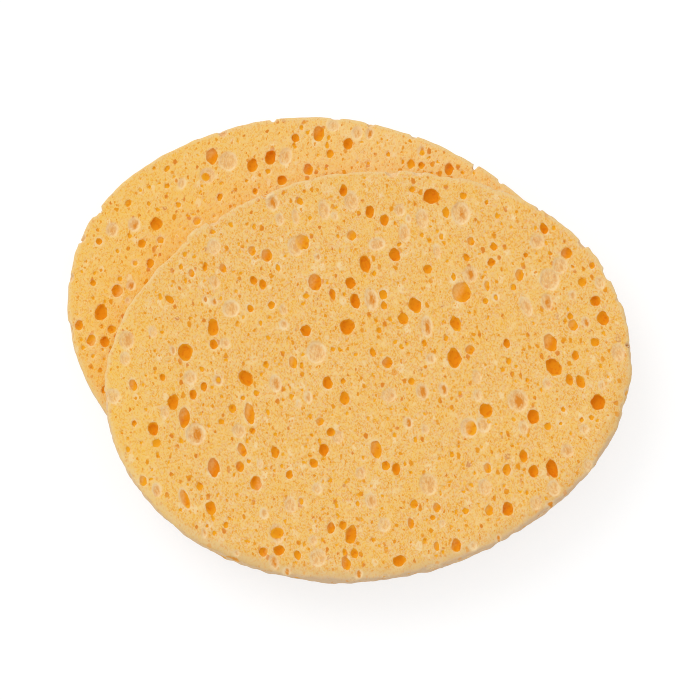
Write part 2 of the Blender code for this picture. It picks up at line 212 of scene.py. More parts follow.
def crowd(dice, kind, side, count, sizes, made, allowed, web):
    """Scatters pores of one kind over a face, each clear of those already there."""
    taken = [(p.centre[0], p.centre[1], (p.mouth[0] + p.mouth[1]) / 2) for p in made if p.side == side]
    smallest, largest, power = sizes
    found = []
    for _ in range(SCATTER_TRIES * count):
        if len(found) == count:
            break
        x = dice.uniform(-HALF_LENGTH, HALF_LENGTH)
        y = dice.uniform(-HALF_WIDTH, HALF_WIDTH)
        width = smallest + (largest - smallest) * dice.random() ** power
        length = width * dice.uniform(*LENGTH_SHARES)
        lean = dice.uniform(-LEAN_SHARE, LEAN_SHARE)
        reach = (width + length) / 4
        if reach_share(x, y) > 1 - (RIM_MARGIN + reach / 2) / HALF_WIDTH or not allowed(x, y):
            continue
        if any(math.hypot(x - a, y - b) < reach + r + web for a, b, r in taken):
            continue
        core = dice.random() if kind == BOWL and dice.random() < ORANGE_BOWL_SHARE else 0.0
        found.append(face_pore(kind, side, (x, y), (width, length), lean, dice, core))
        taken.append((x, y, reach))
    return found


def as_mesh(name, shape):
    """A mesh of what was built, whose working copy is then freed."""
    mesh = bpy.data.meshes.new(name)
    shape.to_mesh(mesh)
    shape.free()
    return mesh


def placed(name, data):
    """An object of this data, in the scene."""
    thing = bpy.data.objects.new(name, data)
    bpy.context.scene.collection.objects.link(thing)
    return thing


def whole_numbers(items, field):
    """A whole number of every face or corner of a mesh."""
    values = np.empty(len(items), np.int32)
    items.foreach_get(field, values)
    return values


def vectors(items, field):
    """A place or direction of every point of a mesh, one in a row."""
    values = np.empty(3 * len(items))
    items.foreach_get(field, values)
    return values.reshape(-1, 3)


# How uneven each kind's wall is, between what shares of its size its flat sides lie, how they
# slope, and how the noise on them is made
PORE_UNEVEN_SHARES = {OPEN: 0.18, BOWL: 0.12, SPECK: 0.22}
PORE_SIDE_SHARES = {OPEN: 0.83, BOWL: 0.86, SPECK: 0.78}
PORE_SIDE_MOST_SHARE = 1.05
PORE_SIDE_SLOPE_SHARE = -0.25
PORE_SIDES = 7
PORE_SWELL_SHARE = 1.04
PORE_MOST_SHARE = 1.06
ROUND_SHARE = 0.07
LEAST_FACING_SHARE = 0.05
BROAD_LUMPS = 1.4
NARROW_LUMPS = 3.6
NARROW_LUMP_SHARE = 0.6
NOISE_SPAN = 100
SMALL_PORE_WIDTH = 0.0012
COARSE_BALL = 3
FINE_BALL = 4


def unit_ball(detail):
    """A round cutter's mesh, and its corners."""
    shape = bmesh.new()
    bmesh.ops.create_icosphere(shape, subdivisions=detail, radius=1.0)
    mesh = as_mesh("ball", shape)
    return mesh, vectors(mesh.vertices, "co")


balls = {detail: unit_ball(detail) for detail in (COARSE_BALL, FINE_BALL)}


def pore_shapes(name, pores, dice):
    """What the pores leave out of the foam, as one mesh: an uneven, flat-sided ball for each."""
    joined = bmesh.new()
    for pore in pores:
        large = max(pore.mouth) > SMALL_PORE_WIDTH / 2
        ball, corners = balls[FINE_BALL if large else COARSE_BALL]
        facing = np.array([dice.uniform(0, 2 * math.pi) for _ in range(PORE_SIDES)])
        flats = np.stack((np.cos(facing), np.sin(facing), np.full(PORE_SIDES, PORE_SIDE_SLOPE_SHARE)))
        least = PORE_SIDE_SHARES[pore.kind] + ROUND_SHARE * large
        reach = np.array([dice.uniform(least, PORE_SIDE_MOST_SHARE) for _ in range(PORE_SIDES)])
        cut = (reach / np.maximum(corners @ flats, LEAST_FACING_SHARE)).min(1)
        shift = np.array([dice.uniform(0, NOISE_SPAN) for _ in range(3)])
        uneven = PORE_UNEVEN_SHARES[pore.kind]
        broad = np.array([noise.noise(c) for c in (corners * BROAD_LUMPS + shift).tolist()])
        narrow = np.array([noise.noise(c) for c in (corners * NARROW_LUMPS + shift).tolist()])
        swell = PORE_SWELL_SHARE + uneven * broad + NARROW_LUMP_SHARE * uneven * narrow
        rough = np.minimum(cut, PORE_MOST_SHARE) * swell
        spots = corners * rough[:, None] * np.array(pore.radii)
        cosine = math.cos(pore.turn)
        sine = math.sin(pore.turn)
        turned = spots @ np.array(((cosine, sine, 0), (-sine, cosine, 0), (0, 0, 1)))
        shape = ball.copy()
        shape.vertices.foreach_set("co", (turned + np.array(pore.centre)).ravel())
        joined.from_mesh(shape)
        bpy.data.meshes.remove(shape)
    return as_mesh(name, joined)


def stamped_pad(name):
    """The oval pad with its rounded rims, before its pores are opened."""
    pad = bmesh.new()
    bmesh.ops.create_cone(
        pad,
        cap_ends=True,
        segments=OUTLINE_POINTS,
        radius1=1.0,
        radius2=1.0,
        depth=SPONGE_THICKNESS,
        matrix=Matrix.Translation((0, 0, SPONGE_THICKNESS / 2)),
    )
    for corner in pad.verts:
        corner.co.x, corner.co.y = outline_point(math.atan2(corner.co.y, corner.co.x))
    for along in (Vector((1, 0, 0)), Vector((0, 1, 0))):
        for step in range(-PAD_CUTS, PAD_CUTS + 1):
            whole = pad.verts[:] + pad.edges[:] + pad.faces[:]
            bmesh.ops.bisect_plane(pad, geom=whole, plane_co=along * step * PAD_CUT_STEP, plane_no=along)
    rims = [e for e in pad.edges if len({round(f.normal.z) for f in e.link_faces}) == 2]
    bmesh.ops.bevel(
        pad, geom=rims, offset=RIM_RADIUS, segments=RIM_STEPS, profile=0.5, affect="EDGES", material=-1
    )
    return as_mesh(name, pad)


def finished(thing, add):
    """Puts a modifier's result in the thing's own mesh."""
    add(thing)
    graph = bpy.context.evaluated_depsgraph_get()
    mesh = bpy.data.meshes.new_from_object(thing.evaluated_get(graph), depsgraph=graph)
    thing.modifiers.clear()
    thing.data = mesh


def smooth_step(low, high, value):
    """0 below low, 1 above high, and an eased share between them."""
    share = np.clip((value - low) / (high - low), 0, 1)
    return share * share * (3 - 2 * share)


# How far from the rim and from a pore the skin still takes its look from them
EDGE_REACHES = (0.0002, 0.0014)
WALL_EASE = 0.0012
PORE_REACH = 0.0008
HALO_INSET = 0.0001
HALO_WIDTH = 0.00030
SMALL_BOWL_SIZES = (0.0006, 0.0013)


def skin_fields(spots, pores):
    """What the foam looks like at each corner of its skin, and the face that the corner belongs to."""
    x, y, z = spots.T
    inward = to_rim(x, y)
    below = np.minimum(SPONGE_THICKNESS - z, z)
    side = np.stack((SPONGE_THICKNESS - z, z, inward)).argmin(0)
    rounding = np.hypot(np.maximum(RIM_RADIUS - below, 0), np.maximum(RIM_RADIUS - inward, 0))
    nearest = np.minimum(below, inward)
    depth = np.where(nearest < RIM_RADIUS, RIM_RADIUS - rounding, nearest)
    upright = smooth_step(0.3 * RIM_RADIUS, RIM_RADIUS, below)
    fields = {
        "depth": np.maximum(depth, 0),
        "edge": 1 - smooth_step(*EDGE_REACHES, inward),
        "wall": upright * (1 - smooth_step(0.0, WALL_EASE, inward)),
    }
    for name in ("film", "halo", "core", "hole", "lined"):
        fields[name] = np.zeros(len(x))

    def raise_to(name, rows, values):
        """Lifts a field to these values where it is lower."""
        fields[name][rows] = np.maximum(fields[name][rows], values)

    order = np.argsort(x)
    ranked = x[order]
    for pore in pores:
        cx, cy, cz = pore.centre
        far = 1.3 * max(pore.radii) + PORE_REACH
        rows = order[np.searchsorted(ranked, cx - far):np.searchsorted(ranked, cx + far)]
        rows = rows[np.abs(y[rows] - cy) < far]
        along = np.cos(pore.turn) * (x[rows] - cx) + np.sin(pore.turn) * (y[rows] - cy)
        across = np.cos(pore.turn) * (y[rows] - cy) - np.sin(pore.turn) * (x[rows] - cx)
        if pore.side == WALL:
            ring = np.sqrt(
                (along / pore.radii[0]) ** 2
                + (across / pore.radii[1]) ** 2
                + ((z[rows] - cz) / pore.radii[2]) ** 2
            )
            side[rows[ring < 1.2]] = WALL
            if pore.kind != BOWL:
                raise_to("hole", rows, 1 - smooth_step(1.1, 1.4, ring))
                raise_to("lined", rows, 0.5 * (ring < 1.4))
            else:
                raise_to("film", rows, 1 - smooth_step(1.05, 1.3, ring))
                raise_to("halo", rows, 0.4 * (1 - smooth_step(1.1, 1.5, ring)))
            continue
        near = (z[rows] > SPONGE_THICKNESS / 2) == (pore.side == TOP)
        rows = rows[near]
        along = along[near] / pore.mouth[0]
        across = across[near] / pore.mouth[1]
        ring = np.hypot(along, across)
        middle = (pore.mouth[0] + pore.mouth[1]) / 2
        side[rows[ring < 1.1]] = pore.side
        beyond = (ring - 1) * middle
        if pore.kind == BOWL:
            halo = np.exp(-((beyond + HALO_INSET) / HALO_WIDTH) ** 2)
            raise_to("film", rows, 1 - smooth_step(0.80, 1.10, ring))
            tilt = np.hypot(1.30 * along - 0.18, 0.82 * across + 0.04)
            small = 1 - smooth_step(*SMALL_BOWL_SIZES, middle)
            raise_to("core", rows, pore.core * (1 - smooth_step(0.10 + 0.30 * small, 0.92, tilt)))
        else:
            halo = np.where(beyond > -HALO_INSET, np.exp(-np.maximum(beyond, 0) / HALO_WIDTH), 0)
            raise_to("hole", rows, 1 - smooth_step(1.10, 1.30, ring))
            slant = math.copysign(1, pore.core) * (0.6 * across - 0.7 * along)
            cover = abs(pore.core) * smooth_step(-0.75, 0.85, slant)
            raise_to("lined", rows, cover * (ring < 1.3))
        # The pale ring: partly the pore's lip, partly a painted highlight
        raise_to("halo", rows, pore.halo * halo)
    return fields, side


# The map of the skin: the space round each chart, the steps round the rim, and its outer limits
MAP_MARGIN = 0.0012
MAP_STEPS = 721
MAP_LIMIT_SHARES = (0.001, 0.999)


def spread_map(mesh, spots, side):
    """The map of the skin: both faces side by side, and the wall in two strips above them."""
    column = SPONGE_WIDTH + 2 * MAP_MARGIN
    span = 2 * column
    turns = np.linspace(-math.pi, math.pi, MAP_STEPS)
    rim_x, rim_y = outline_point(turns)
    run = np.concatenate(((0,), np.cumsum(np.hypot(np.diff(rim_x), np.diff(rim_y)))))
    whole = run[-1]
    angle = np.arctan2(spots[:, 1] / HALF_WIDTH, spots[:, 0] / HALF_LENGTH)
    walk = np.interp(angle, turns, run)
    corner = whole_numbers(mesh.loops, "vertex_index")
    first = whole_numbers(mesh.polygons, "loop_start")
    face = np.repeat(np.arange(len(first)), whole_numbers(mesh.polygons, "loop_total"))
    lead = corner[first][face]
    chart = side[lead]
    u = spots[corner, 1] + HALF_WIDTH + MAP_MARGIN + column * (chart == UNDER)
    v = spots[corner, 0] + HALF_LENGTH + MAP_MARGIN
    near = walk[corner] - whole * np.round((walk[corner] - walk[lead]) / whole)
    strip = np.floor(2 * walk[lead] / whole)
    on_wall = chart == WALL
    u = np.where(on_wall, near - strip * whole / 2 + MAP_MARGIN, u)
    rise = SPONGE_LENGTH + 3 * MAP_MARGIN + strip * (SPONGE_THICKNESS + 2 * MAP_MARGIN)
    v = np.where(on_wall, rise + spots[corner, 2], v)
    layer = mesh.uv_layers.new(name="OFBake")
    flat = np.clip(np.stack((u / span, v / span), 1), *MAP_LIMIT_SHARES)
    layer.data.foreach_set("uv", flat.astype(np.float32).ravel())


def lumps(spots, reach, size, shift):
    """Smooth lumps of this size at every corner, up to a reach in or out."""
    scaled = (spots / size + shift).tolist()
    return reach * np.array([noise.noise(s) for s in scaled])


# Bulges of the outline: how wide and how far out a share of one stands, and the heights that
# one grows between
BULGE_WIDTH = 0.0040
BULGE_REACH = 0.0010
BULGE_HEIGHTS = (0.0020, 0.0066)
BULGE_EASE_SHARES = (0.55, 1.0)


def jut(spots, bulges, grid):
    """How far the outline juts out beside each corner, where the blade left a bulge."""
    out = np.zeros(len(spots))
    for along, across, width, reach in bulges:
        x, y = grid.spot(along, across)
        gap = np.hypot(spots[:, 0] - x, spots[:, 1] - y) / (BULGE_WIDTH * width / 2)
        rise = smooth_step(*BULGE_HEIGHTS, spots[:, 2]) if reach > 0 else 1.0
        out += BULGE_REACH * reach * (1 - smooth_step(*BULGE_EASE_SHARES, gap)) * rise
    return out


# How fine the foam's skin is made
SKIN_CELL = 0.00024

# The side of the rim that gets a painted highlight and the side of the rim and wall that gets painted
# shade, and how far from the rim each reaches
LIT_SIDE = math.radians(-105)
SHADED_SIDE = math.radians(-65)
LIT_REACHES = (0.0006, 0.0028)
SHADE_REACHES = (-0.0010, 0.0042)

# The skin's swelling and the outline's sway: how far, how wide the lumps are, and their noise's start
HEAVES = ((0.00010, 0.0100, 7.0), (0.00004, 0.0022, 19.0), (0.00002, 0.0008, 31.0))
SWAYS = ((0.00036, 0.0065, 43.0), (0.00034, 0.0021, 61.0))
SWAY_EASE = 0.0030
FILM_CALM_SHARE = 0.75


def make_sponge(name, turn, centre, pores, rim, dice):
    """Cuts the pores, gives the foam its fine skin and puts the sponge in its place."""
    bulges, sway_share, grid = rim
    sponge = placed(name, stamped_pad(name))

    def open_pores(thing):
        opened = thing.modifiers.new("pores", "BOOLEAN")
        opened.operation = "DIFFERENCE"
        opened.solver = "MANIFOLD"
        opened.object = cutter

    def fine_skin(thing):
        skin = thing.modifiers.new("skin", "REMESH")
        skin.mode = "VOXEL"
        skin.voxel_size = SKIN_CELL
        skin.use_smooth_shade = True

    for kind in (BOWL, OPEN, SPECK):
        cut = [p for p in pores if p.kind == kind]
        cutter = placed(name + "_pores", pore_shapes(name + "_pores", cut, dice))
        finished(sponge, open_pores)
        bpy.data.objects.remove(cutter)
    finished(sponge, fine_skin)
    mesh = sponge.data
    mesh.name = name
    mesh.materials.clear()
    spots = vectors(mesh.vertices, "co")
    fields, side = skin_fields(spots, pores)
    spread_map(mesh, spots, side)
    broad, narrow, finest = [lumps(spots, *row) for row in HEAVES]
    calm = 1 - FILM_CALM_SHARE * fields["film"]
    heave = broad + narrow * calm + finest * calm
    moved = spots + vectors(mesh.vertex_normals, "vector") * heave[:, None]
    outward = spots * np.array((1 / HALF_LENGTH**2, 1 / HALF_WIDTH**2, 0.0))
    outward /= np.maximum(np.linalg.norm(outward, axis=1), NO_LENGTH)[:, None]
    inward = to_rim(spots[:, 0], spots[:, 1])

    def faced(way):
        """How squarely the skin faces a direction of the picture."""
        return outward[:, 0] * math.cos(way - turn) + outward[:, 1] * math.sin(way - turn)

    # Painted shade on the rim and wall that face the lower right of the picture
    fields["dull"] = (1 - smooth_step(*SHADE_REACHES, inward)) * smooth_step(0.10, 0.95, faced(SHADED_SIDE))
    # Painted highlight on the rim that faces down and slightly left in the picture, over the rim's own pale
    # tint
    wide = (1 - smooth_step(*LIT_REACHES, inward)) * smooth_step(0.30, 0.95, faced(LIT_SIDE))
    fields["edge"] = np.maximum(fields["edge"], wide)
    broad_sway, narrow_sway = [lumps(spots, *row) for row in SWAYS]
    sway = sway_share * (broad_sway + narrow_sway) + jut(spots, bulges, grid)
    moved += outward * (sway * (1 - smooth_step(0.0, SWAY_EASE, inward)))[:, None]
    mesh.vertices.foreach_set("co", moved.ravel())
    for field, values in fields.items():
        mesh.attributes.new("foam_" + field, "FLOAT", "POINT")
        mesh.attributes["foam_" + field].data.foreach_set("value", values.astype(np.float32))
    mesh.transform(Matrix.Translation(centre) @ Matrix.Rotation(turn, 4, "Z"))
    mesh.update()
    return sponge


def linear(red, green, blue):
    """A colour given as it looks on a screen, 0 to 255, as the shader wants it."""
    shares = [c / 255 for c in (red, green, blue)]
    light = [c / 12.92 if c <= 0.04045 else ((c + 0.055) / 1.055) ** 2.4 for c in shares]
    return (*light, 1.0)


# What the skin's attributes tell the material
FOAM_FIELDS = ("depth", "film", "halo", "core", "edge", "hole", "wall", "lined", "dull")

# The foam's colours
AMBER_FOAM = linear(239, 166, 50)
CREAM_FOAM = linear(243, 202, 130)
ROSY_FOAM = linear(240, 184, 138)
GOLD_FOAM = linear(251, 196, 78)
SUNNY_FOAM = linear(255, 206, 84)
MILKY_FOAM = linear(255, 222, 150)
DOT_AMBER = linear(240, 158, 38)
SMUDGE_PINK = linear(206, 134, 90)
EDGE_BEIGE = linear(238, 208, 150)
PALE_FOAM = linear(250, 226, 178)
SPECK_ORANGE = linear(236, 152, 24)
SPECK_RUST = linear(226, 136, 40)
# Inside the holes: painted light scattered in the foam, darker with depth as painted shade, with random
# rust-coloured mottling
PORE_ORANGE = linear(244, 172, 30)
SHADED_DEEP_ORANGE = linear(236, 147, 6)
PORE_RUST = linear(223, 119, 4)
LINED_TAN = linear(244, 186, 104)
FILM_PALE = linear(245, 208, 150)
FILM_ROSY = linear(230, 178, 120)
BOWL_TAN = linear(228, 164, 88)
BOWL_BROWN = linear(224, 136, 28)
WALL_BEIGE = linear(236, 204, 160)
# Painted shade for the rim and wall that face the lower right
WALL_PAINTED_SHADE = linear(222, 190, 152)
PAINTED_SHADE_BEIGE = linear(206, 166, 112)
FOAM_ROUGHNESS = 0.92
FOAM_GLOSS = 0.25
FOAM_BUMP_SHARE = 0.06
FOAM_BUMP = 0.00015
# How strongly the lower sponge's foam is toned, and how strongly its rim's pale tint and painted highlight
# show
LOWER_TONE_SHARE = 0.30
LOWER_RIM_SHARE = 0.90

# Specks in the material: the size of their cells, the share of cells with one, its share of a cell
COARSE_SPECKS = (0.00170, 0.60, 0.34)
MIDDLE_SPECKS = (0.00080, 0.45, 0.36)
FINE_SPECKS = (0.00042, 0.55, 0.60)
VEILED_SPECKS = (0.00290, 0.60, 0.30)
SMUDGES = (0.00500, 0.55, 0.16)
LEAST_SPECK_SHARE = 0.45
SPECK_CORE_SHARE = 0.65

# Clouds in the material: how large the patches of each are, and how far two are stretched
WOBBLE_SIZE = 0.0009
WOBBLE_REACH = 0.0007
GRAIN_SIZE = 0.00030
HUE_SIZE = 0.00050
PATCH_SIZE = 0.0045
ROSE_SIZE = 0.0012
BRIGHT_SIZE = 0.0022
RAGGED_SIZE = 0.00055
STREAK_SIZE = 0.00042
MOTTLE_SIZE = 0.0008
GRAIN_STRETCH_SHARE = 0.70
STREAK_STRETCH_SHARE = 0.35

# Where along X the foam turns from sunny to milky, and where its left end is toned more
TONE_SPAN = (-0.045, 0.010)
END_SPAN = (-0.056, -0.036)
END_TONE_SHARE = 0.38

# How deep a hole turns orange with painted light scattered in the foam, how deep it turns dark with painted
# shade, and how uneven those limits are
SUNK_DEPTHS = (0.00009, 0.00026)
SHADE_DEPTHS = (0.0003, 0.0010)
RAGGED_DEPTH = 0.00075


class Recipe:
    """Adds nodes to a tree and wires them, so that a material reads as a recipe."""

    def __init__(self, tree):
        self.tree = tree

    def add(self, kind, values=(), **settings):
        """A node with these settings, and with these values or sockets put in its own."""
        node = self.tree.nodes.new(kind)
        for name, value in settings.items():
            setattr(node, name, value)
        return self.fill(node, values)

    def fill(self, node, values):
        """Gives a node's sockets their values, or wires them."""
        for name, value in dict(values).items():
            if isinstance(value, bpy.types.NodeSocket):
                self.link(value, node.inputs[name])
            else:
                node.inputs[name].default_value = value
        return node

    def ramp(self, value, low, high, start=0.0, end=1.0):
        """A value eased from start to end between low and high."""
        sockets = {"Value": value, "From Min": low, "From Max": high, "To Min": start, "To Max": end}
        return self.add("ShaderNodeMapRange", sockets, interpolation_type="SMOOTHSTEP").outputs[0]

    def maths(self, operation, first, second):
        """One sum of two values."""
        sockets = {0: first, 1: second}
        return self.add("ShaderNodeMath", sockets, operation=operation, use_clamp=False).outputs[0]

    def times(self, first, second):
        return self.maths("MULTIPLY", first, second)

    def link(self, value, socket):
        self.tree.links.new(value, socket)

    def blend(self, share, first, second):
        """One colour laid over another by a share."""
        sockets = {0: share, 6: first, 7: second}
        return self.add("ShaderNodeMix", sockets, data_type="RGBA", clamp_factor=True).outputs[2]


def new_group(name, inputs, outputs):
    """A node group's recipe, with the sockets that it is given and those that it gives."""
    tree = bpy.data.node_groups.new(name, "ShaderNodeTree")
    for label, kind in inputs:
        tree.interface.new_socket(name=label, in_out="INPUT", socket_type="NodeSocket" + kind)
    for label, kind in outputs:
        tree.interface.new_socket(name=label, in_out="OUTPUT", socket_type="NodeSocket" + kind)
    recipe = Recipe(tree)
    return recipe, recipe.add("NodeGroupInput").outputs, recipe.add("NodeGroupOutput").inputs


def make_speck_group():
    """Small open cells of foam: a mask of spots with drawn sizes, one in a cell of the given size."""
    made, given, out = new_group(
        "foam_specks",
        [("Vector", "Vector"), ("Cell", "Float"), ("Share", "Float"), ("Spot", "Float")],
        [("Mask", "Float")],
    )
    scale = made.maths("DIVIDE", 1.0, given["Cell"])
    cells = made.add(
        "ShaderNodeTexVoronoi",
        {"Vector": given["Vector"], "Scale": scale, "Randomness": 1.0},
        voronoi_dimensions="3D",
        feature="F1",
    )
    drawn = made.add("ShaderNodeSeparateColor", {"Color": cells.outputs["Color"]})
    there = made.maths("LESS_THAN", drawn.outputs["Red"], given["Share"])
    share = made.ramp(drawn.outputs["Green"], 0.0, 1.0, LEAST_SPECK_SHARE, 1.0)
    size = made.times(share, given["Spot"])
    core = made.times(size, SPECK_CORE_SHARE)
    spot = made.ramp(cells.outputs["Distance"], core, size, 1.0, 0.0)
    made.link(made.times(spot, there), out["Mask"])
    return made.tree


def make_foam_group(specks):
    """The foam's colour, painted light and shade included, and its relief, from a place in the sponge's own
    axes and the skin's fields.
    """
    fields = [(field.title(), "Float") for field in FOAM_FIELDS]
    made, given, out = new_group(
        "foam_skin",
        [("Vector", "Vector"), ("Toned", "Float"), ("Rim", "Float"), *fields],
        [("Color", "Color"), ("Height", "Float")],
    )
    place = given["Vector"]
    times = made.times

    def cloud(size, vector=place, detail=2.0, output="Fac"):
        """Noise with patches of this size."""
        sockets = {"Vector": vector, "Scale": 1 / size, "Detail": detail}
        return made.add("ShaderNodeTexNoise", sockets).outputs[output]

    def vector_sum(operation, sockets):
        """One sum of vectors."""
        return made.add("ShaderNodeVectorMath", sockets, operation=operation).outputs[0]

    wobble = cloud(WOBBLE_SIZE, place, 1.0, "Color")
    centred = vector_sum("SUBTRACT", {0: wobble, 1: (0.5, 0.5, 0.5)})
    nudge = vector_sum("SCALE", {0: centred, "Scale": WOBBLE_REACH})
    swayed = vector_sum("ADD", {0: place, 1: nudge})

    def stretched_by(share):
        """The swayed place, on which patterns come out longer across than along."""
        sockets = {"Vector": swayed, "Scale": (1.0, share, 1.0)}
        return made.add("ShaderNodeMapping", sockets, vector_type="POINT").outputs[0]

    stretched = stretched_by(GRAIN_STRETCH_SHARE)

    def spots(cell, share, spot):
        """A layer of specks."""
        sockets = {"Vector": stretched, "Cell": cell, "Share": share, "Spot": spot}
        group = made.add("ShaderNodeGroup", node_tree=specks)
        return made.fill(group, sockets).outputs["Mask"]

    coarse = spots(*COARSE_SPECKS)
    middle = spots(*MIDDLE_SPECKS)
    fine = spots(*FINE_SPECKS)
    veiled = spots(*VEILED_SPECKS)
    smudge = spots(*SMUDGES)
    grain = cloud(GRAIN_SIZE, stretched)
    hue = cloud(HUE_SIZE, stretched)
    patch = cloud(PATCH_SIZE)
    rose = cloud(ROSE_SIZE, swayed)
    bright = cloud(BRIGHT_SIZE, swayed)
    ragged = made.maths("SUBTRACT", cloud(RAGGED_SIZE), 0.5)
    streak = made.maths("SUBTRACT", cloud(STREAK_SIZE, stretched_by(STREAK_STRETCH_SHARE)), 0.5)

    base = made.blend(made.ramp(grain, 0.32, 0.56), AMBER_FOAM, CREAM_FOAM)
    base = made.blend(made.ramp(hue, 0.50, 0.72, 0.0, 0.55), base, GOLD_FOAM)
    base = made.blend(made.ramp(hue, 0.28, 0.48, 0.60, 0.0), base, ROSY_FOAM)
    base = made.blend(made.ramp(bright, 0.54, 0.76, 0.0, 0.40), base, PALE_FOAM)
    base = made.blend(made.ramp(patch, 0.40, 0.66, 0.0, 0.25), base, GOLD_FOAM)
    along = made.add("ShaderNodeSeparateXYZ", {"Vector": place}).outputs["X"]
    tone = made.blend(made.ramp(along, *TONE_SPAN), SUNNY_FOAM, MILKY_FOAM)
    toned = made.maths("MAXIMUM", given["Toned"], made.ramp(along, *END_SPAN, END_TONE_SHARE, 0.0))
    base = made.blend(toned, base, tone)
    base = made.blend(times(veiled, 0.45), base, PALE_FOAM)
    base = made.blend(times(fine, 0.50), base, DOT_AMBER)
    base = made.blend(times(middle, 0.90), base, SPECK_ORANGE)
    speckle = made.blend(made.ramp(rose, 0.50, 0.56), SPECK_ORANGE, SPECK_RUST)
    base = made.blend(coarse, base, speckle)
    base = made.blend(times(smudge, made.ramp(grain, 0.40, 0.55, 0.65, 0.10)), base, SMUDGE_PINK)
    # The rim's own pale tint, with a painted highlight on the side that faces down and slightly left
    rim = made.maths("ADD", given["Edge"], times(times(ragged, 2.0), given["Edge"]))
    base = made.blend(times(made.ramp(rim, 0.10, 1.00, 0.0, 0.60), given["Rim"]), base, EDGE_BEIGE)
    # Painted shade along the rim and wall that face the lower right
    base = made.blend(times(given["Dull"], made.ramp(patch, 0.30, 0.60, 0.38, 0.66)), base, PAINTED_SHADE_BEIGE)
    base = made.blend(times(given["Wall"], made.ramp(grain, 0.34, 0.58, 0.62, 0.92)), base, WALL_BEIGE)
    # Deeper painted shade on the wall that faces the lower right
    deeper_shade = times(made.ramp(given["Dull"], 0.66, 0.90), made.ramp(grain, 0.34, 0.58, 0.68, 0.92))
    base = made.blend(deeper_shade, base, WALL_PAINTED_SHADE)
    dots = made.maths("MAXIMUM", times(middle, 0.50), times(fine, 0.26))
    dots = made.maths("MAXIMUM", times(coarse, 0.65), dots)
    band = made.maths("MAXIMUM", given["Wall"], times(given["Dull"], 0.85))
    base = made.blend(times(band, dots), base, speckle)
    # The pale ring round pores and bowls: partly their pale lip, partly a painted highlight
    ring = times(given["Halo"], made.ramp(bright, 0.35, 0.60, 0.45, 0.95))
    base = made.blend(ring, base, PALE_FOAM)

    lining = made.blend(made.ramp(streak, -0.10, 0.12), FILM_PALE, FILM_ROSY)
    lining = made.blend(ring, lining, PALE_FOAM)
    film = times(given["Film"], made.ramp(grain, 0.35, 0.60, 0.50, 0.80))
    base = made.blend(film, base, lining)
    uneven_heart = made.maths("ADD", 1.0, made.maths("ADD", ragged, times(streak, 2.6)))
    heart = times(given["Core"], uneven_heart)
    base = made.blend(made.ramp(heart, 0.05, 0.55, 0.0, 0.90), base, BOWL_TAN)
    base = made.blend(made.ramp(heart, 0.45, 0.82, 0.0, 0.88), base, BOWL_BROWN)

    mottle = cloud(MOTTLE_SIZE)
    # Inside the holes: painted light scattered in the foam, turning to painted shade deeper down
    inner = made.blend(made.ramp(given["Depth"], *SHADE_DEPTHS), PORE_ORANGE, SHADED_DEEP_ORANGE)
    inner = made.blend(made.ramp(mottle, 0.52, 0.68, 0.0, 0.55), inner, PORE_RUST)
    lined = made.maths("ADD", given["Lined"], times(times(ragged, 1.8), given["Lined"]))
    inner = made.blend(made.ramp(lined, 0.08, 0.90, 0.0, 0.92), inner, LINED_TAN)
    uneven = made.maths("ADD", given["Depth"], times(ragged, RAGGED_DEPTH))
    sunk = made.ramp(uneven, *SUNK_DEPTHS)
    base = made.blend(times(sunk, given["Hole"]), base, inner)

    pits = made.maths("ADD", made.maths("ADD", coarse, middle), fine)
    relief = made.maths("SUBTRACT", grain, pits)
    relief = times(relief, made.maths("SUBTRACT", 1.0, times(film, 0.8)))
    made.link(base, out["Color"])
    made.link(relief, out["Height"])
    return made.tree


def foam_material(name, group, turn, centre, toned, rim):
    """Dry cellulose foam: matte, with its pattern turned with the sponge."""
    material = bpy.data.materials.new(name)
    material.use_nodes = True
    made = Recipe(material.node_tree)
    shader = material.node_tree.nodes["Principled BSDF"]
    place = made.add("ShaderNodeTexCoord").outputs["Object"]
    moved = made.add(
        "ShaderNodeMapping",
        {"Vector": place, "Location": centre, "Rotation": (0.0, 0.0, turn)},
        vector_type="TEXTURE",
    ).outputs[0]
    sockets = {"Vector": moved, "Toned": toned, "Rim": rim}
    for field in FOAM_FIELDS:
        kept = made.add("ShaderNodeAttribute", attribute_name="foam_" + field)
        sockets[field.title()] = kept.outputs["Fac"]
    skin = made.fill(made.add("ShaderNodeGroup", node_tree=group), sockets)
    bumps = {"Height": skin.outputs["Height"], "Strength": FOAM_BUMP_SHARE, "Distance": FOAM_BUMP}
    relief = made.add("ShaderNodeBump", bumps)
    made.fill(shader, {
        "Base Color": skin.outputs["Color"],
        "Normal": relief.outputs["Normal"],
        "Roughness": FOAM_ROUGHNESS,
        "Specular IOR Level": FOAM_GLOSS,
    })
    return material


foam_group = make_foam_group(make_speck_group())

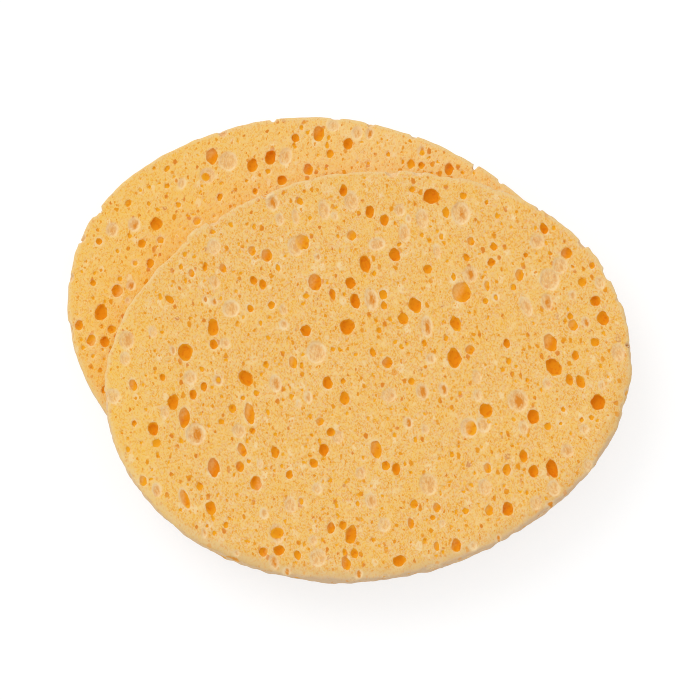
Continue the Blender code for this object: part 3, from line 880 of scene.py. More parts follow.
# Deep holes on the part of the lower sponge's top that shows: along, across, width, length, lean,
# and how much pale foam lines them, above 0 on the far left side and below 0 on the near right
LOWER_OPEN_SHARES = (
    (-0.717, 0.124, 0.54, 0.44), (-0.914, -0.026, 0.45, 0.29), (-0.820, -0.042, 0.80, 0.62, -0.6, -0.6),
    (-0.862, -0.160, 0.91, 0.78), (-0.936, -0.242, 0.58, 0.52, 0.0, 0.4), (-0.811, -0.231, 0.66, 0.40),
    (-0.878, -0.303, 0.62, 0.60, 0.0, -0.6), (-0.826, -0.297, 0.64, 0.52, -0.3),
    (-0.925, 0.180, 0.48, 0.32), (-0.763, 0.210, 0.54, 0.42), (-0.724, 0.321, 0.88, 0.62, 0.3),
    (-0.697, 0.247, 0.53, 0.34, 0.0, 0.7), (-0.845, 0.394, 0.45, 0.39, 0.0, 0.3),
    (-0.575, 0.371, 0.61, 0.39, -0.2, 0.7), (-0.508, 0.509, 0.38, 0.39), (-0.577, 0.595, 0.53, 0.34),
    (-0.568, 0.703, 0.86, 0.76, 0.0, 0.7), (-0.410, 0.694, 0.70, 0.64, -0.2),
    (-0.350, 0.751, 0.76, 0.69), (-0.270, 0.868, 0.61, 0.39), (-0.186, 0.912, 0.80, 0.76, 0.0, 0.5),
    (-0.128, 0.823, 0.54, 0.42, 0.3), (-0.068, 0.888, 0.68, 0.54, -0.2), (-0.289, 0.650, 0.68, 0.44),
    (-0.199, 0.727, 0.68, 0.54, -0.3, 0.6), (0.182, 0.850, 0.61, 0.44), (0.222, 0.853, 0.45, 0.34),
    (0.328, 0.863, 0.61, 0.59, -0.2, 0.4), (-0.774, 0.110, 0.45, 0.29, 0.0, 0.6),
    (-0.958, 0.072, 0.26, 0.18), (-0.818, 0.020, 0.42, 0.29, 0.3), (-0.828, -0.336, 0.26, 0.16),
    (-0.816, -0.380, 0.30, 0.20), (-0.918, -0.310, 0.40, 0.20), (-0.792, -0.527, 0.38, 0.40, 0.0, 0.3),
    (-0.848, 0.154, 0.30, 0.24), (-0.657, 0.432, 0.45, 0.29), (-0.715, 0.514, 0.38, 0.29),
    (-0.727, 0.598, 0.34, 0.40, 0.8), (-0.776, 0.587, 0.34, 0.22), (-0.380, 0.570, 0.36, 0.32, -0.2),
    (-0.347, 0.680, 0.40, 0.28), (-0.515, 0.412, 0.30, 0.20), (0.089, 0.875, 0.34, 0.26),
    (0.216, 0.912, 0.36, 0.28, -0.2), (-0.020, 0.910, 0.30, 0.16), (-0.128, 0.712, 0.32, 0.20),
    (0.025, 0.778, 0.28, 0.14), (-0.256, 0.925, 0.38, 0.30), (-0.022, 0.808, 0.24, 0.22),
    (0.150, 0.854, 0.24, 0.34), (-0.420, 0.614, 0.28, 0.20),
)

# Pale bowls there, in the same shares, the last one for how orange the middle is
LOWER_BOWL_SHARES = (
    (-0.885, 0.250, 0.80, 0.62, 0.0, 0.5), (-0.505, 0.690, 1.20, 0.82),
    (-0.570, 0.600, 1.00, 0.70, 0.0, 0.3), (-0.807, 0.296, 0.80, 0.60, 0.0, 0.9),
    (-0.293, 0.768, 0.79, 0.77, 0.0, 0.3), (-0.660, 0.540, 0.50, 0.50),
    (-0.773, -0.001, 0.60, 0.45, 0.0, 0.8), (-0.773, -0.078, 0.36, 0.24, 0.0, 0.3),
    (0.004, 0.960, 0.53, 0.51, 0.0, 0.9), (-0.043, 0.950, 0.70, 0.56, -0.2),
    (-0.137, 0.962, 0.79, 0.47, 0.0, 0.1), (0.211, 0.922, 0.53, 0.47, 0.0, 0.8),
)

# How strongly its outline sways, and its bulges: along, across, width and reach
LOWER_SWAY_SHARE = 0.45
LOWER_BULGE_SHARES = (
    (-0.945, 0.310, 0.8, -0.5),
    (0.406, 0.898, 0.5, -0.35),
)

# Nicks where a pore opens the rim: along, across, width, depth and height
LOWER_NICK_SHARES = (
    (-0.536, 0.816, 0.8, 1.1, 1.0),
    (-0.936, 0.336, 0.5, 0.4, 8.0),
    (-0.971, 0.176, 0.9, 0.8, 2.0),
    (-0.992, -0.020, 0.8, 0.7, 1.0),
    (-0.965, -0.274, 1.6, 0.5, 3.0),
    (-0.360, 0.920, 0.5, 0.5, 2.5),
    (-0.130, 0.990, 0.9, 0.4, 1.0),
    (0.0, 0.985, 0.7, 0.7, 1.0),
    (0.17, 0.985, 0.6, 0.6, 1.0),
    (0.414, 0.884, 0.36, 1.2, 4.0),
    (0.518, 0.833, 0.5, 0.4, 3.0),
)
NICK_WIDTH = 0.0024
NICK_DEPTH = 0.0012
NICK_HEIGHT = 0.0040


def nicks(rows, grid):
    """Pores that open the top rim, each on the outline in the direction given."""
    made = []
    for along, across, width, deep, tall in rows:
        x, y = grid.spot(along, across)
        angle = math.atan2(y / HALF_WIDTH, x / HALF_LENGTH)
        size = (NICK_WIDTH * width, NICK_HEIGHT * tall, NICK_DEPTH * deep)
        made.append(wall_pore(BOWL, angle, SPONGE_THICKNESS, *size))
    return made


# Pores of the wall, drawn by chance too
WALL_PORES = 420
WALL_TRIES = 20
WALL_PORE_LEAST = 0.0005
WALL_PORE_GAIN = 0.0016
WALL_PORE_SHARES = (0.8, 1.6)
WALL_PORE_DEPTH_SHARE = 0.45


def wall_scatter(dice, count):
    """Pores that the blade opened along the wall, each clear of the others."""
    made = []
    taken = []
    for _ in range(WALL_TRIES * count):
        if len(made) == count:
            break
        tall = WALL_PORE_LEAST + WALL_PORE_GAIN * dice.random() ** 2
        width = tall * dice.uniform(*WALL_PORE_SHARES)
        height = dice.uniform(RIM_MARGIN, SPONGE_THICKNESS - RIM_MARGIN)
        angle = dice.uniform(-math.pi, math.pi)
        spot = (*outline_point(angle), height)
        reach = (tall + width) / 4
        if any(math.dist(spot, other) < reach + r + CLOSE_WEB for other, r in taken):
            continue
        taken.append((spot, reach))
        kind = dice.choice((OPEN, BOWL, SPECK, SPECK))
        made.append(wall_pore(kind, angle, height, width, tall, WALL_PORE_DEPTH_SHARE * tall))
    return made


def anywhere(x, y):
    """No point of a face is left out."""
    return True


# Where the upper sponge lies, and how much of its reach counts as cover
UPPER_TURN = math.radians(9.9)
UPPER_CENTRE = (0.0042922, -0.0063701, 0.0083)
COVER_SHARE = 0.97


def under_the_upper(x, y):
    """Whether a point of the lower sponge's top is covered by the upper one."""
    there = Matrix.Translation(UPPER_CENTRE) @ Matrix.Rotation(UPPER_TURN, 4, "Z")
    here = Matrix.Translation(LOWER_CENTRE) @ Matrix.Rotation(LOWER_TURN, 4, "Z")
    seen = there.inverted() @ here @ Vector((x, y, 0))
    return reach_share(seen.x, seen.y) < COVER_SHARE


def beside_the_upper(x, y):
    """Whether a point of the lower sponge's top shows."""
    return not under_the_upper(x, y)


# Faces that the photograph doesn't show: the kind, how many, their least and most width with a
# power that makes the large ones rarer, and the foam left between them
FACE_SCATTER = (
    (OPEN, 130, (0.0009, 0.0028, 2.2), OPEN_WEB),
    (BOWL, 60, (0.0012, 0.0036, 1.6), CLOSE_WEB),
    (SPECK, 520, (0.0004, 0.0008, 1.5), CLOSE_WEB),
)

# Specks among the placed pores of a top, in the same way
TOP_SPECK_SIZES = (0.0005, 0.0011, 1.5)


def scatter_face(dice, made, side, allowed, share):
    """The open holes, bowls and specks of a face that the photograph doesn't show."""
    for kind, count, sizes, web in FACE_SCATTER:
        made += crowd(dice, kind, side, int(count * share), sizes, made, allowed, web)


def scatter_rest(dice, made, specks, allowed, nick_rows, grid):
    """The specks drawn on a top that shows, and the pores of the underside, the rim and the wall."""
    made += crowd(dice, SPECK, TOP, specks, TOP_SPECK_SIZES, made, allowed, CLOSE_WEB)
    scatter_face(dice, made, UNDER, anywhere, 1.0)
    made += nicks(nick_rows, grid) + wall_scatter(dice, WALL_PORES)


# How full the covered part is scattered, how many specks the rest gets, and where the draws start
COVERED_SHARE = 0.75
LOWER_TOP_SPECKS = 180
LOWER_SEED = 11

lower_grid = Grid(LOWER_GRID_MIDDLE, LOWER_GRID_TURN, LOWER_GRID_STRETCH_SHARES)
lower_dice = random.Random(LOWER_SEED)
lower_pores = table_pores(OPEN, LOWER_OPEN_SHARES, lower_grid, lower_dice)
lower_pores += table_pores(BOWL, LOWER_BOWL_SHARES, lower_grid, lower_dice)
scatter_face(lower_dice, lower_pores, TOP, under_the_upper, COVERED_SHARE)
scatter_rest(lower_dice, lower_pores, LOWER_TOP_SPECKS, beside_the_upper, LOWER_NICK_SHARES, lower_grid)
lower_rim = (LOWER_BULGE_SHARES, LOWER_SWAY_SHARE, lower_grid)
lower_foam = make_sponge("lower_foam", LOWER_TURN, LOWER_CENTRE, lower_pores, lower_rim, lower_dice)
lower_look = foam_material(
    "lower_foam", foam_group, LOWER_TURN, LOWER_CENTRE, LOWER_TONE_SHARE, LOWER_RIM_SHARE
)
lower_foam.data.materials.append(lower_look)
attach(lower_foam, "lower")
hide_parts("lower_sponge")

# Upper sponge
# The same pad again, lying across the first, turned and shifted so that a crescent of it shows.
# Every hole and bowl of its top that can be made out has its own place.
UPPER_OPEN_SHARES = (
    (-0.693, 0.535, 0.40, 0.52, -0.9), (-0.367, 0.560, 0.46, 0.43, -0.2), (-0.335, 0.532, 0.53, 0.49),
    (-0.397, 0.425, 0.48, 0.40, -0.4), (-0.548, 0.366, 0.72, 0.80, 0.1),
    (-0.143, 0.905, 0.46, 0.40, -0.4), (0.027, 0.923, 0.52, 0.56, 0.4), (0.112, 0.798, 0.60, 0.62),
    (0.162, 0.745, 0.60, 0.56, 0.2), (-0.158, 0.707, 0.92, 0.72, -0.2, 0.7),
    (0.028, 0.696, 0.68, 0.49, 0.0, 0.6), (0.286, 0.872, 0.46, 0.34), (0.353, 0.820, 1.16, 0.76),
    (0.062, 0.546, 0.72, 0.86), (0.178, 0.566, 0.80, 0.65, -0.2), (-0.138, 0.500, 1.00, 0.78, 0.0, 0.7),
    (-0.081, 0.427, 0.45, 0.58, 0.0, 0.3), (-0.006, 0.466, 0.74, 0.54, 0.2),
    (0.000, 0.374, 0.68, 0.73, -0.2), (0.109, 0.384, 0.60, 0.48), (0.292, 0.470, 0.61, 0.44),
    (0.473, 0.798, 0.50, 0.40, -0.4), (0.397, 0.730, 0.50, 0.52, 0.2),
    (0.472, 0.570, 0.53, 0.44, -0.2, 0.6), (0.554, 0.527, 0.52, 0.42, -0.3),
    (0.444, 0.496, 0.44, 0.40, -0.3), (0.535, 0.452, 0.62, 0.36), (0.754, 0.570, 0.50, 0.55, -0.3),
    (0.822, 0.434, 0.80, 0.50, -0.6, 0.6), (0.632, 0.368, 0.61, 0.59, 0.0, 0.7),
    (0.404, 0.331, 1.20, 1.00, 0.0, 0.8), (-0.768, 0.164, 0.42, 0.36, -0.2),
    (-0.668, 0.268, 0.98, 0.83, -0.1), (-0.557, 0.281, 0.53, 0.44), (-0.665, 0.055, 0.57, 0.47),
    (-0.743, 0.035, 0.72, 0.74, 0.2), (-0.712, -0.048, 0.76, 0.93, 0.3, 0.7),
    (-0.834, -0.076, 0.72, 0.60, 0.2), (-0.831, -0.149, 0.60, 0.40), (-0.576, -0.098, 0.46, 0.32),
    (-0.527, -0.045, 0.57, 0.44, 0.3), (-0.457, 0.092, 0.86, 0.76, -0.6),
    (-0.374, 0.140, 0.44, 0.36, -0.2), (-0.466, -0.081, 0.74, 1.00, 0.0, 0.8),
    (-0.466, -0.166, 0.42, 0.30), (-0.518, -0.251, 0.56, 0.69, -0.3, 0.7), (-0.396, -0.290, 0.56, 0.58),
    (-0.633, -0.314, 0.86, 0.93, 0.1, 0.8), (-0.204, 0.271, 0.76, 0.54, -0.5),
    (-0.046, 0.256, 0.98, 0.72, -0.1), (0.104, 0.330, 0.46, 0.42, 0.0, 0.3),
    (0.168, 0.250, 0.74, 0.56, 0.1), (0.222, 0.304, 0.84, 0.74, -0.3),
    (-0.272, 0.130, 0.53, 0.59, 0.0, 0.7), (0.032, 0.114, 0.42, 0.44, -0.3),
    (-0.156, 0.001, 0.68, 0.64, -0.2), (0.079, 0.050, 0.72, 0.56, 0.0, 0.6),
    (-0.103, -0.085, 0.68, 0.64, 0.2), (-0.209, -0.179, 0.60, 0.40, 0.0, 0.6),
    (-0.176, -0.238, 0.56, 0.40, 0.6), (-0.213, -0.318, 0.68, 0.56), (0.158, -0.058, 0.46, 0.36),
    (0.333, 0.017, 1.00, 0.90), (0.359, 0.182, 0.76, 0.72, -0.3), (0.397, 0.046, 0.68, 0.44, 0.0, 0.6),
    (0.487, 0.268, 0.44, 0.30), (0.600, 0.312, 0.45, 0.35), (0.538, 0.046, 0.44, 0.46),
    (0.534, -0.042, 0.42, 0.30, -0.3), (0.702, 0.012, 0.98, 0.83, 0.0, 0.7),
    (0.698, -0.108, 0.98, 0.90, -0.5), (0.798, 0.078, 0.68, 0.54, 0.0, 0.7),
    (0.862, 0.281, 0.60, 0.45, -0.2), (0.898, 0.177, 0.72, 0.50), (0.915, 0.088, 0.84, 0.64, -0.4),
    (0.869, -0.020, 0.61, 0.44, -0.2), (0.786, -0.070, 0.48, 0.46), (0.748, -0.182, 0.53, 0.54),
    (0.417, -0.260, 0.86, 0.66), (0.589, -0.330, 0.82, 0.70), (0.839, -0.312, 0.96, 0.78),
    (0.350, -0.334, 0.70, 0.60, 0.0, 0.6), (-0.760, -0.438, 0.50, 0.86, -0.3, 0.9),
    (-0.697, -0.390, 0.46, 0.40, 0.2), (-0.670, -0.503, 0.68, 0.62),
    (-0.486, -0.422, 0.76, 0.76, -0.1, -0.7), (-0.357, -0.408, 0.52, 0.42),
    (-0.439, -0.678, 0.86, 0.44), (-0.442, -0.762, 0.74, 0.46), (-0.502, -0.757, 0.60, 0.44, 0.0, -0.5),
    (-0.377, -0.800, 0.48, 0.44, -0.3), (-0.259, -0.374, 0.58, 0.46, 0.2),
    (-0.019, -0.358, 0.76, 0.86, 0.1, 0.6), (0.008, -0.444, 0.58, 0.44, 0.2),
    (0.045, -0.468, 0.53, 0.58, 0.1), (0.088, -0.650, 0.60, 0.44),
    (-0.236, -0.696, 0.53, 0.54, 0.4, 0.5), (-0.191, -0.694, 0.53, 0.42),
    (-0.165, -0.744, 0.76, 0.88, 0.5, 0.3), (0.171, -0.687, 0.53, 0.46, 0.0, 0.6),
    (0.275, -0.726, 0.46, 0.34), (0.363, -0.742, 0.60, 0.52, 0.2, 0.5),
    (-0.165, -0.838, 0.50, 0.48, -0.2), (-0.203, -0.880, 0.62, 0.62, -0.3, 0.6),
    (-0.003, -0.910, 0.90, 0.52, -0.2), (0.219, -0.882, 0.68, 0.60, 0.2, 0.5),
    (0.455, -0.562, 0.62, 0.54, 0.2, -0.3), (0.527, -0.509, 0.54, 0.60),
    (0.554, -0.592, 0.68, 0.54, 0.2), (0.625, -0.594, 0.72, 0.86, -0.2),
    (0.637, -0.388, 0.53, 0.37, 0.2), (0.432, -0.750, 0.76, 0.66, 0.1, 0.3),
    (-0.630, 0.686, 0.32, 0.28, 0.3), (-0.540, 0.665, 0.34, 0.50, 0.5),
    (-0.268, 0.600, 0.38, 0.38, -0.3), (0.292, 0.640, 0.36, 0.28), (-0.037, 0.414, 0.32, 0.24),
    (0.556, 0.746, 0.34, 0.24, 0.3), (0.587, 0.672, 0.40, 0.28), (0.598, 0.630, 0.30, 0.22),
    (0.669, 0.459, 0.36, 0.26, 0.3), (0.754, 0.500, 0.28, 0.22), (0.384, 0.411, 0.32, 0.44, 0.2),
    (0.836, 0.363, 0.26, 0.22, -0.2), (0.909, 0.352, 0.45, 0.34, 0.0, 0.3),
    (-0.620, 0.086, 0.45, 0.44, 0.2), (-0.834, -0.206, 0.32, 0.30), (-0.902, -0.034, 0.38, 0.34, 0.3),
    (-0.481, -0.002, 0.36, 0.26), (-0.428, 0.011, 0.45, 0.30), (-0.500, -0.310, 0.32, 0.28),
    (-0.906, -0.319, 0.60, 0.54, 0.0, 0.7), (-0.882, 0.152, 0.53, 0.58, -0.2, 0.7),
    (0.070, 0.213, 0.36, 0.30), (-0.115, 0.160, 0.30, 0.26), (-0.033, 0.117, 0.36, 0.22),
    (-0.097, -0.004, 0.38, 0.30), (-0.070, -0.024, 0.28, 0.20), (0.230, 0.115, 0.40, 0.36),
    (0.315, 0.120, 0.36, 0.30, 0.3), (0.590, -0.150, 0.34, 0.30), (0.793, 0.125, 0.45, 0.34),
    (0.787, -0.200, 0.58, 0.66, -0.3), (0.705, -0.318, 0.34, 0.28),
    (-0.536, -0.329, 0.56, 0.52, 0.0, 0.5), (-0.694, -0.587, 0.32, 0.20), (-0.673, -0.627, 0.38, 0.26),
    (-0.625, -0.598, 0.36, 0.32), (-0.330, -0.546, 0.42, 0.38, 0.0, 0.6),
    (-0.071, -0.388, 0.28, 0.24, -0.3), (0.080, -0.452, 0.36, 0.26), (-0.121, -0.603, 0.38, 0.28, -0.2),
    (-0.253, -0.601, 0.28, 0.22), (-0.034, -0.647, 0.32, 0.16), (0.064, -0.740, 0.46, 0.54, 0.0, 0.6),
    (0.148, -0.730, 0.38, 0.26), (-0.200, -0.824, 0.32, 0.34), (0.144, -0.872, 0.42, 0.48, 0.0, 0.6),
    (0.237, -0.813, 0.26, 0.18), (0.385, -0.538, 0.53, 0.54, 0.0, 0.7), (0.520, -0.578, 0.34, 0.22),
    (0.687, -0.384, 0.30, 0.20), (0.684, -0.461, 0.22, 0.16), (0.767, -0.385, 0.30, 0.32),
    (0.805, -0.382, 0.36, 0.28, -0.2), (0.435, -0.636, 0.30, 0.24), (0.515, -0.688, 0.22, 0.30),
    (-0.595, 0.646, 0.45, 0.44, 0.0, 0.8), (-0.354, 0.704, 0.53, 0.49, 0.0, 0.7),
    (-0.303, 0.670, 0.76, 0.59, 0.0, 0.8), (-0.474, 0.644, 0.53, 0.44, 0.0, 0.7),
    (-0.180, 0.439, 0.45, 0.30), (-0.316, 0.424, 0.53, 0.38), (-0.368, 0.346, 0.32, 0.30),
    (0.201, 0.614, 0.45, 0.20), (0.363, 0.618, 0.38, 0.34, 0.0, 0.6),
    (0.503, 0.344, 0.38, 0.54, 0.0, 0.6), (-0.490, 0.830, 0.42, 0.28, 0.0, 0.4),
)

# Pale bowls of the upper sponge's top, the last share the orange of the middle
UPPER_BOWL_SHARES = (
    (-0.880, 0.373, 1.00, 0.78, 0.0, 0.5), (-0.776, 0.391, 0.53, 0.47, 0.0, 0.2),
    (-0.515, 0.582, 0.66, 0.55, 0.0, 0.4), (-0.560, 0.507, 0.40, 0.30, 0.0, 1.0),
    (-0.528, 0.488, 0.44, 0.35, 0.0, 0.7), (-0.470, 0.440, 1.10, 0.72), (-0.495, 0.755, 0.84, 0.66),
    (-0.487, 0.830, 0.36, 0.26, 0.0, 0.3), (-0.247, 0.925, 0.84, 0.74, 0.0, 0.9),
    (-0.170, 0.835, 0.46, 0.68), (-0.230, 0.835, 0.56, 0.52), (-0.058, 0.845, 0.70, 0.84),
    (0.050, 0.865, 0.90, 0.84), (-0.190, 0.688, 0.96, 0.80), (-0.113, 0.620, 0.46, 0.34, 0.0, 0.7),
    (-0.023, 0.805, 0.44, 0.35), (0.253, 0.732, 0.34, 0.32), (0.225, 0.780, 0.70, 0.50),
    (0.305, 0.720, 0.80, 0.82), (0.228, 0.665, 0.66, 0.74), (0.118, 0.634, 1.05, 0.55, 0.0, 0.3),
    (0.061, 0.370, 0.86, 0.94, 0.0, 0.7), (-0.275, 0.392, 0.50, 0.46), (0.338, 0.550, 0.46, 0.66),
    (0.452, 0.715, 1.20, 0.95, 0.0, 0.5), (0.720, 0.515, 0.96, 0.60), (0.790, 0.380, 1.00, 0.70),
    (0.447, 0.412, 0.92, 0.68, 0.0, 0.8), (-0.896, 0.286, 0.66, 0.56, 0.0, 0.1),
    (-0.713, 0.287, 0.40, 0.42), (-0.515, 0.280, 0.64, 0.44), (-0.680, -0.137, 1.28, 0.88, 0.0, 0.9),
    (-0.350, 0.042, 0.72, 0.72, 0.0, 0.7), (-0.517, -0.158, 0.84, 0.60), (-0.665, 0.140, 0.80, 0.60),
    (-0.283, 0.320, 0.56, 0.42), (-0.178, 0.158, 1.24, 0.90, 0.0, 0.3), (-0.238, -0.050, 0.50, 0.52),
    (-0.277, -0.076, 0.30, 0.38), (-0.153, -0.265, 0.76, 0.56, 0.0, 0.1),
    (0.066, -0.108, 0.90, 0.60, 0.0, 0.1), (0.191, -0.117, 0.80, 0.70, 0.0, 1.0),
    (0.272, -0.124, 0.60, 0.56, 0.0, 0.95), (0.245, 0.035, 0.60, 0.42), (0.178, -0.302, 0.50, 0.42),
    (0.118, -0.256, 0.60, 0.48, 0.0, 0.95), (0.635, 0.210, 0.72, 0.88, -0.3),
    (0.716, 0.213, 0.80, 0.74, 0.0, 0.95), (0.740, 0.320, 1.30, 0.92, 0.0, 0.1),
    (0.848, 0.084, 0.53, 0.47, 0.0, 1.0), (0.662, -0.182, 0.50, 0.50, 0.0, 0.1),
    (0.542, -0.240, 1.30, 0.92, 0.0, 1.0), (0.405, -0.090, 0.60, 0.60), (0.395, -0.180, 0.56, 0.50),
    (0.948, -0.090, 0.84, 0.76, 0.0, 0.1), (0.815, 0.225, 0.50, 0.40), (0.865, -0.235, 0.46, 0.40),
    (0.342, -0.330, 1.10, 0.80, 0.0, 0.1), (0.397, -0.326, 0.90, 0.66, 0.0, 0.3),
    (0.545, -0.374, 0.60, 0.60, 0.0, 0.4), (-0.860, -0.375, 0.60, 0.60),
    (-0.760, -0.440, 0.60, 0.98, -0.3), (-0.475, -0.574, 0.53, 0.47, 0.0, 0.4),
    (-0.372, -0.554, 0.72, 0.70, 0.0, 0.05), (-0.304, -0.830, 1.08, 0.72, 0.0, 0.15),
    (-0.070, -0.600, 0.74, 0.66, 0.0, 0.45), (0.154, -0.568, 1.12, 0.90, 0.0, 0.5),
    (0.618, -0.688, 0.76, 0.66, 0.0, 0.25), (0.541, -0.748, 0.72, 0.60, 0.0, 0.2),
    (0.693, -0.521, 0.76, 0.56, 0.0, 0.4), (0.760, -0.610, 0.60, 0.50),
    (0.281, -0.900, 0.50, 0.38, 0.0, 0.1), (-0.965, 0.113, 0.86, 0.64, 0.0, 0.05),
    (0.180, -0.766, 0.40, 0.30), (-0.036, -0.726, 0.79, 0.58, 0.0, 0.05), (0.770, -0.430, 0.60, 0.40),
    (-0.604, -0.745, 0.40, 0.30), (0.594, -0.764, 0.60, 0.24, 0.0, 0.9),
    (-0.470, -0.813, 0.60, 0.62, 0.0, 0.8), (-0.427, -0.868, 0.46, 0.34, 0.0, 0.6),
    (-0.163, -0.938, 0.52, 0.36, 0.0, 1.0), (0.251, 0.193, 0.72, 0.89, 0.1, 0.95),
    (0.527, 0.279, 0.44, 0.36, 0.0, 0.9), (0.927, 0.262, 0.66, 0.55, 0.0, 0.05),
    (-0.563, 0.105, 0.66, 0.47, 0.0, 0.95), (-0.781, -0.006, 0.53, 0.55, 0.0, 0.1),
    (-0.439, -0.680, 0.90, 0.84, 0.0, 0.1), (-0.710, -0.618, 0.36, 0.44, 0.0, 0.5),
    (-0.263, -0.500, 0.59, 0.47, 0.0, 0.05), (-0.090, -0.459, 0.66, 0.51, 0.0, 0.05),
    (-0.459, -0.332, 0.40, 0.38, 0.0, 0.05), (-0.311, -0.741, 0.53, 0.43, 0.0, 0.1),
    (0.363, -0.628, 0.79, 0.68, 0.0, 0.05), (0.378, -0.884, 0.40, 0.34, 0.0, 0.9),
)

# Specks that can be told apart, along and across
UPPER_SPECK_SHARES = (
    (-0.759, 0.547), (-0.676, 0.600), (-0.607, 0.382), (-0.625, 0.425), (-0.430, 0.390), (-0.367, 0.342),
    (-0.213, 0.590), (-0.042, 0.603), (0.018, 0.625), (0.154, 0.692), (0.199, 0.610), (0.023, 0.463),
    (-0.056, 0.360), (-0.302, 0.465), (0.173, 0.422), (0.220, 0.380), (0.442, 0.805), (0.530, 0.704),
    (0.632, 0.608), (0.486, 0.630), (0.398, 0.610), (0.396, 0.560), (0.362, 0.617), (0.823, 0.487),
    (0.737, 0.405), (0.423, 0.439), (0.358, 0.342), (-0.847, 0.317), (-0.660, 0.212), (-0.845, -0.010),
    (-0.786, -0.182), (-0.390, 0.073), (-0.260, 0.270), (-0.023, 0.322), (0.127, 0.232), (0.052, 0.148),
    (-0.070, 0.078), (-0.267, -0.128), (-0.278, -0.286), (0.203, -0.038), (0.152, -0.238), (0.137, -0.298),
    (0.528, 0.273), (0.554, 0.113), (0.478, -0.064), (0.517, -0.115), (0.714, 0.127), (0.928, 0.210),
    (0.423, -0.313), (-0.820, -0.420), (-0.507, -0.518), (0.180, -0.416), (0.212, -0.453), (-0.288, -0.655),
    (-0.140, -0.630), (-0.118, -0.563), (-0.058, -0.528), (0.815, -0.432), (0.377, -0.430), (0.445, -0.335),
    (-0.102, 0.780), (-0.067, 0.540), (0.420, 0.225), (0.450, -0.420), (-0.774, -0.125), (-0.562, 0.107),
)

# How wide and how long those specks are drawn
PLACED_SPECK_WIDTHS = (0.00055, 0.00095)
PLACED_SPECK_LENGTHS = (0.00065, 0.0012)

# Specks drawn by chance between them, and where the draws start
UPPER_TOP_SPECKS = 640
UPPER_SEED = 29

# The grid that its tables are laid out on, how strongly its foam is toned, and how strongly its rim's pale
# tint and painted highlight show
UPPER_GRID_MIDDLE = (-0.0001, -0.0006)
UPPER_GRID_TURN = math.radians(-0.2)
UPPER_GRID_STRETCH_SHARES = (1.0, 1.008)
UPPER_TONE_SHARE = 0.0
UPPER_RIM_SHARE = 1.0

# Sway and bulges of the upper sponge's outline
UPPER_SWAY_SHARE = 1.0
UPPER_BULGE_SHARES = (
    (-0.560, 0.828, 1.1, 1.1),
    (-0.515, 0.857, 0.6, 0.9),
)

# Nicks of the upper sponge's rim
UPPER_NICK_SHARES = (
    (0.890, 0.467, 0.9, 1.0, 1.0),
    (0.954, 0.299, 1.3, 0.5, 4.0),
    (0.745, 0.670, 0.5, 0.5, 1.0),
    (0.991, 0.169, 0.5, 0.6, 1.0),
    (0.993, -0.062, 0.5, 0.8, 2.0),
    (0.960, -0.290, 0.7, 0.6, 1.0),
    (0.930, -0.350, 0.6, 0.5, 1.0),
    (-0.968, 0.115, 0.8, 0.6, 1.0),
    (-0.470, 0.873, 0.8, 0.6, 1.0),
    (-0.262, 0.970, 0.9, 0.9, 1.0),
    (0.224, 0.975, 1.1, 1.1, 1.4),
    (0.316, 0.940, 0.9, 0.7, 1.0),
    (-0.065, -0.983, 0.6, 0.6, 1.0),
    (0.120, -0.980, 1.1, 0.5, 1.0),
    (-0.190, -0.977, 0.6, 0.5, 1.0),
)


def speck_pores(places, grid, dice):
    """Specks at places of their own, with drawn sizes."""
    made = []
    for along, across in places:
        size = (dice.uniform(*PLACED_SPECK_WIDTHS), dice.uniform(*PLACED_SPECK_LENGTHS))
        made.append(face_pore(SPECK, TOP, grid.spot(along, across), size, 0.0, dice))
    return made


upper_grid = Grid(UPPER_GRID_MIDDLE, UPPER_GRID_TURN, UPPER_GRID_STRETCH_SHARES)
upper_dice = random.Random(UPPER_SEED)
upper_pores = table_pores(OPEN, UPPER_OPEN_SHARES, upper_grid, upper_dice)
upper_pores += table_pores(BOWL, UPPER_BOWL_SHARES, upper_grid, upper_dice)
upper_pores += speck_pores(UPPER_SPECK_SHARES, upper_grid, upper_dice)
scatter_rest(upper_dice, upper_pores, UPPER_TOP_SPECKS, anywhere, UPPER_NICK_SHARES, upper_grid)
upper_rim = (UPPER_BULGE_SHARES, UPPER_SWAY_SHARE, upper_grid)
upper_foam = make_sponge("upper_foam", UPPER_TURN, UPPER_CENTRE, upper_pores, upper_rim, upper_dice)
upper_look = foam_material(
    "upper_foam", foam_group, UPPER_TURN, UPPER_CENTRE, UPPER_TONE_SHARE, UPPER_RIM_SHARE
)
upper_foam.data.materials.append(upper_look)
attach(upper_foam, "upper")
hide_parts("upper_sponge")

# Floor
# A plain white sheet, which shows as white to the camera and keeps a soft shadow.
FLOOR_SIZE = 3.0
FLOOR_WHITE = (0.86, 0.86, 0.86, 1.0)
FLOOR_SEEN = (0.36, 0.36, 0.36, 1.0)
FLOOR_LIFT = 0.71
FLOOR_DROP = 0.00013
PAPER_ROUGHNESS = 0.9
PAPER_GLOSS = 0.1
WHITE = (1.0, 1.0, 1.0, 1.0)

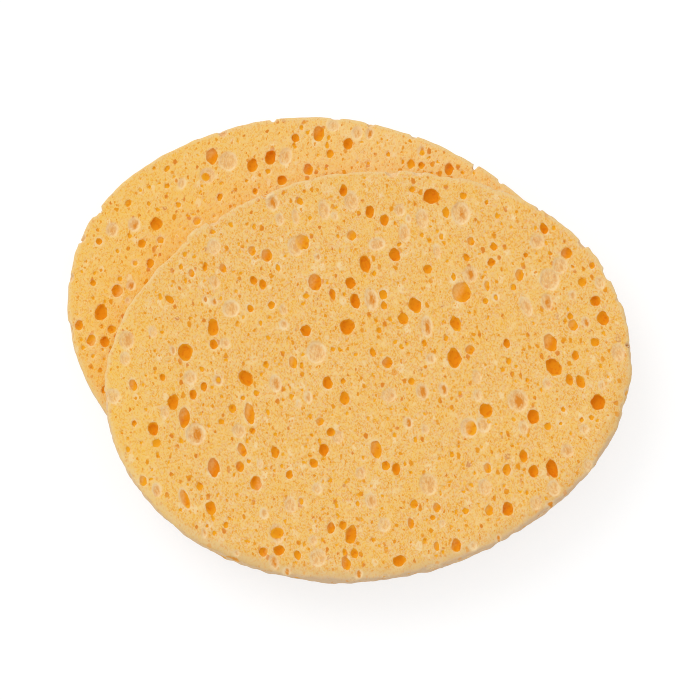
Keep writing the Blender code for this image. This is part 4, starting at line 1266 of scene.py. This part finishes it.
sheet = bmesh.new()
bmesh.ops.create_grid(sheet, x_segments=1, y_segments=1, size=FLOOR_SIZE / 2)
bmesh.ops.translate(sheet, verts=sheet.verts[:], vec=(0.0, 0.0, -FLOOR_DROP))
floor = placed("floor", as_mesh("floor", sheet))
paper = bpy.data.materials.new("paper")
paper.use_nodes = True
paper_nodes = Recipe(paper.node_tree)
rays = paper_nodes.add("ShaderNodeLightPath")
seen = paper_nodes.maths("ADD", rays.outputs["Is Camera Ray"], rays.outputs["Is Glossy Ray"])
seen = paper_nodes.maths("ADD", seen, rays.outputs["Is Transmission Ray"])
paper_nodes.fill(paper.node_tree.nodes["Principled BSDF"], {
    "Base Color": paper_nodes.blend(seen, FLOOR_WHITE, FLOOR_SEEN),
    "Roughness": PAPER_ROUGHNESS,
    "Specular IOR Level": PAPER_GLOSS,
    "Emission Color": WHITE,
    "Emission Strength": paper_nodes.times(seen, FLOOR_LIFT),
})
floor.data.materials.append(paper)

# Light
# A pale room all round, and one broad lamp from the upper left of the picture.
ROOM_LIGHT = 0.768
KEY_STRENGTH = 0.785
KEY_SPREAD = math.radians(35)
KEY_ROUND = math.radians(135)
KEY_RISE = math.radians(50)

world = bpy.data.worlds.new("room")
bpy.context.scene.world = world
world.use_nodes = True
room = world.node_tree.nodes["Background"]
room.inputs["Color"].default_value = WHITE
room.inputs["Strength"].default_value = ROOM_LIGHT
key_lamp = bpy.data.lights.new("key", "SUN")
key_lamp.energy = KEY_STRENGTH
key_lamp.angle = KEY_SPREAD
key = placed("key", key_lamp)
from_key = Vector((
    math.cos(KEY_ROUND) * math.cos(KEY_RISE),
    math.sin(KEY_ROUND) * math.cos(KEY_RISE),
    math.sin(KEY_RISE),
))
key.rotation_euler = from_key.to_track_quat("Z", "Y").to_euler()

# Camera
# Nearly straight down, tipped just enough to see the wall along the near edge.
VIEW_CENTRE = Vector((0.000485, -0.001458, 0.0163))
VIEW_DISTANCE = 0.9
VIEW_TILT = math.radians(7.5)
VIEW_WIDTH = 0.1458
VIEW_END = 20.0
SENSOR_WIDTH = 36.0
PICTURE_BLUR = 1.0

camera_data = bpy.data.cameras.new("camera")
camera_data.sensor_width = SENSOR_WIDTH
camera_data.lens = SENSOR_WIDTH * VIEW_DISTANCE / VIEW_WIDTH
camera_data.clip_end = VIEW_END
camera = placed("camera", camera_data)
from_camera = Vector((0.0, -math.sin(VIEW_TILT), math.cos(VIEW_TILT)))
camera.location = VIEW_CENTRE + from_camera * VIEW_DISTANCE
camera.rotation_euler = (VIEW_TILT, 0.0, 0.0)
bpy.context.scene.camera = camera
bpy.context.scene.view_settings.view_transform = "Standard"
bpy.context.scene.cycles.filter_width = PICTURE_BLUR
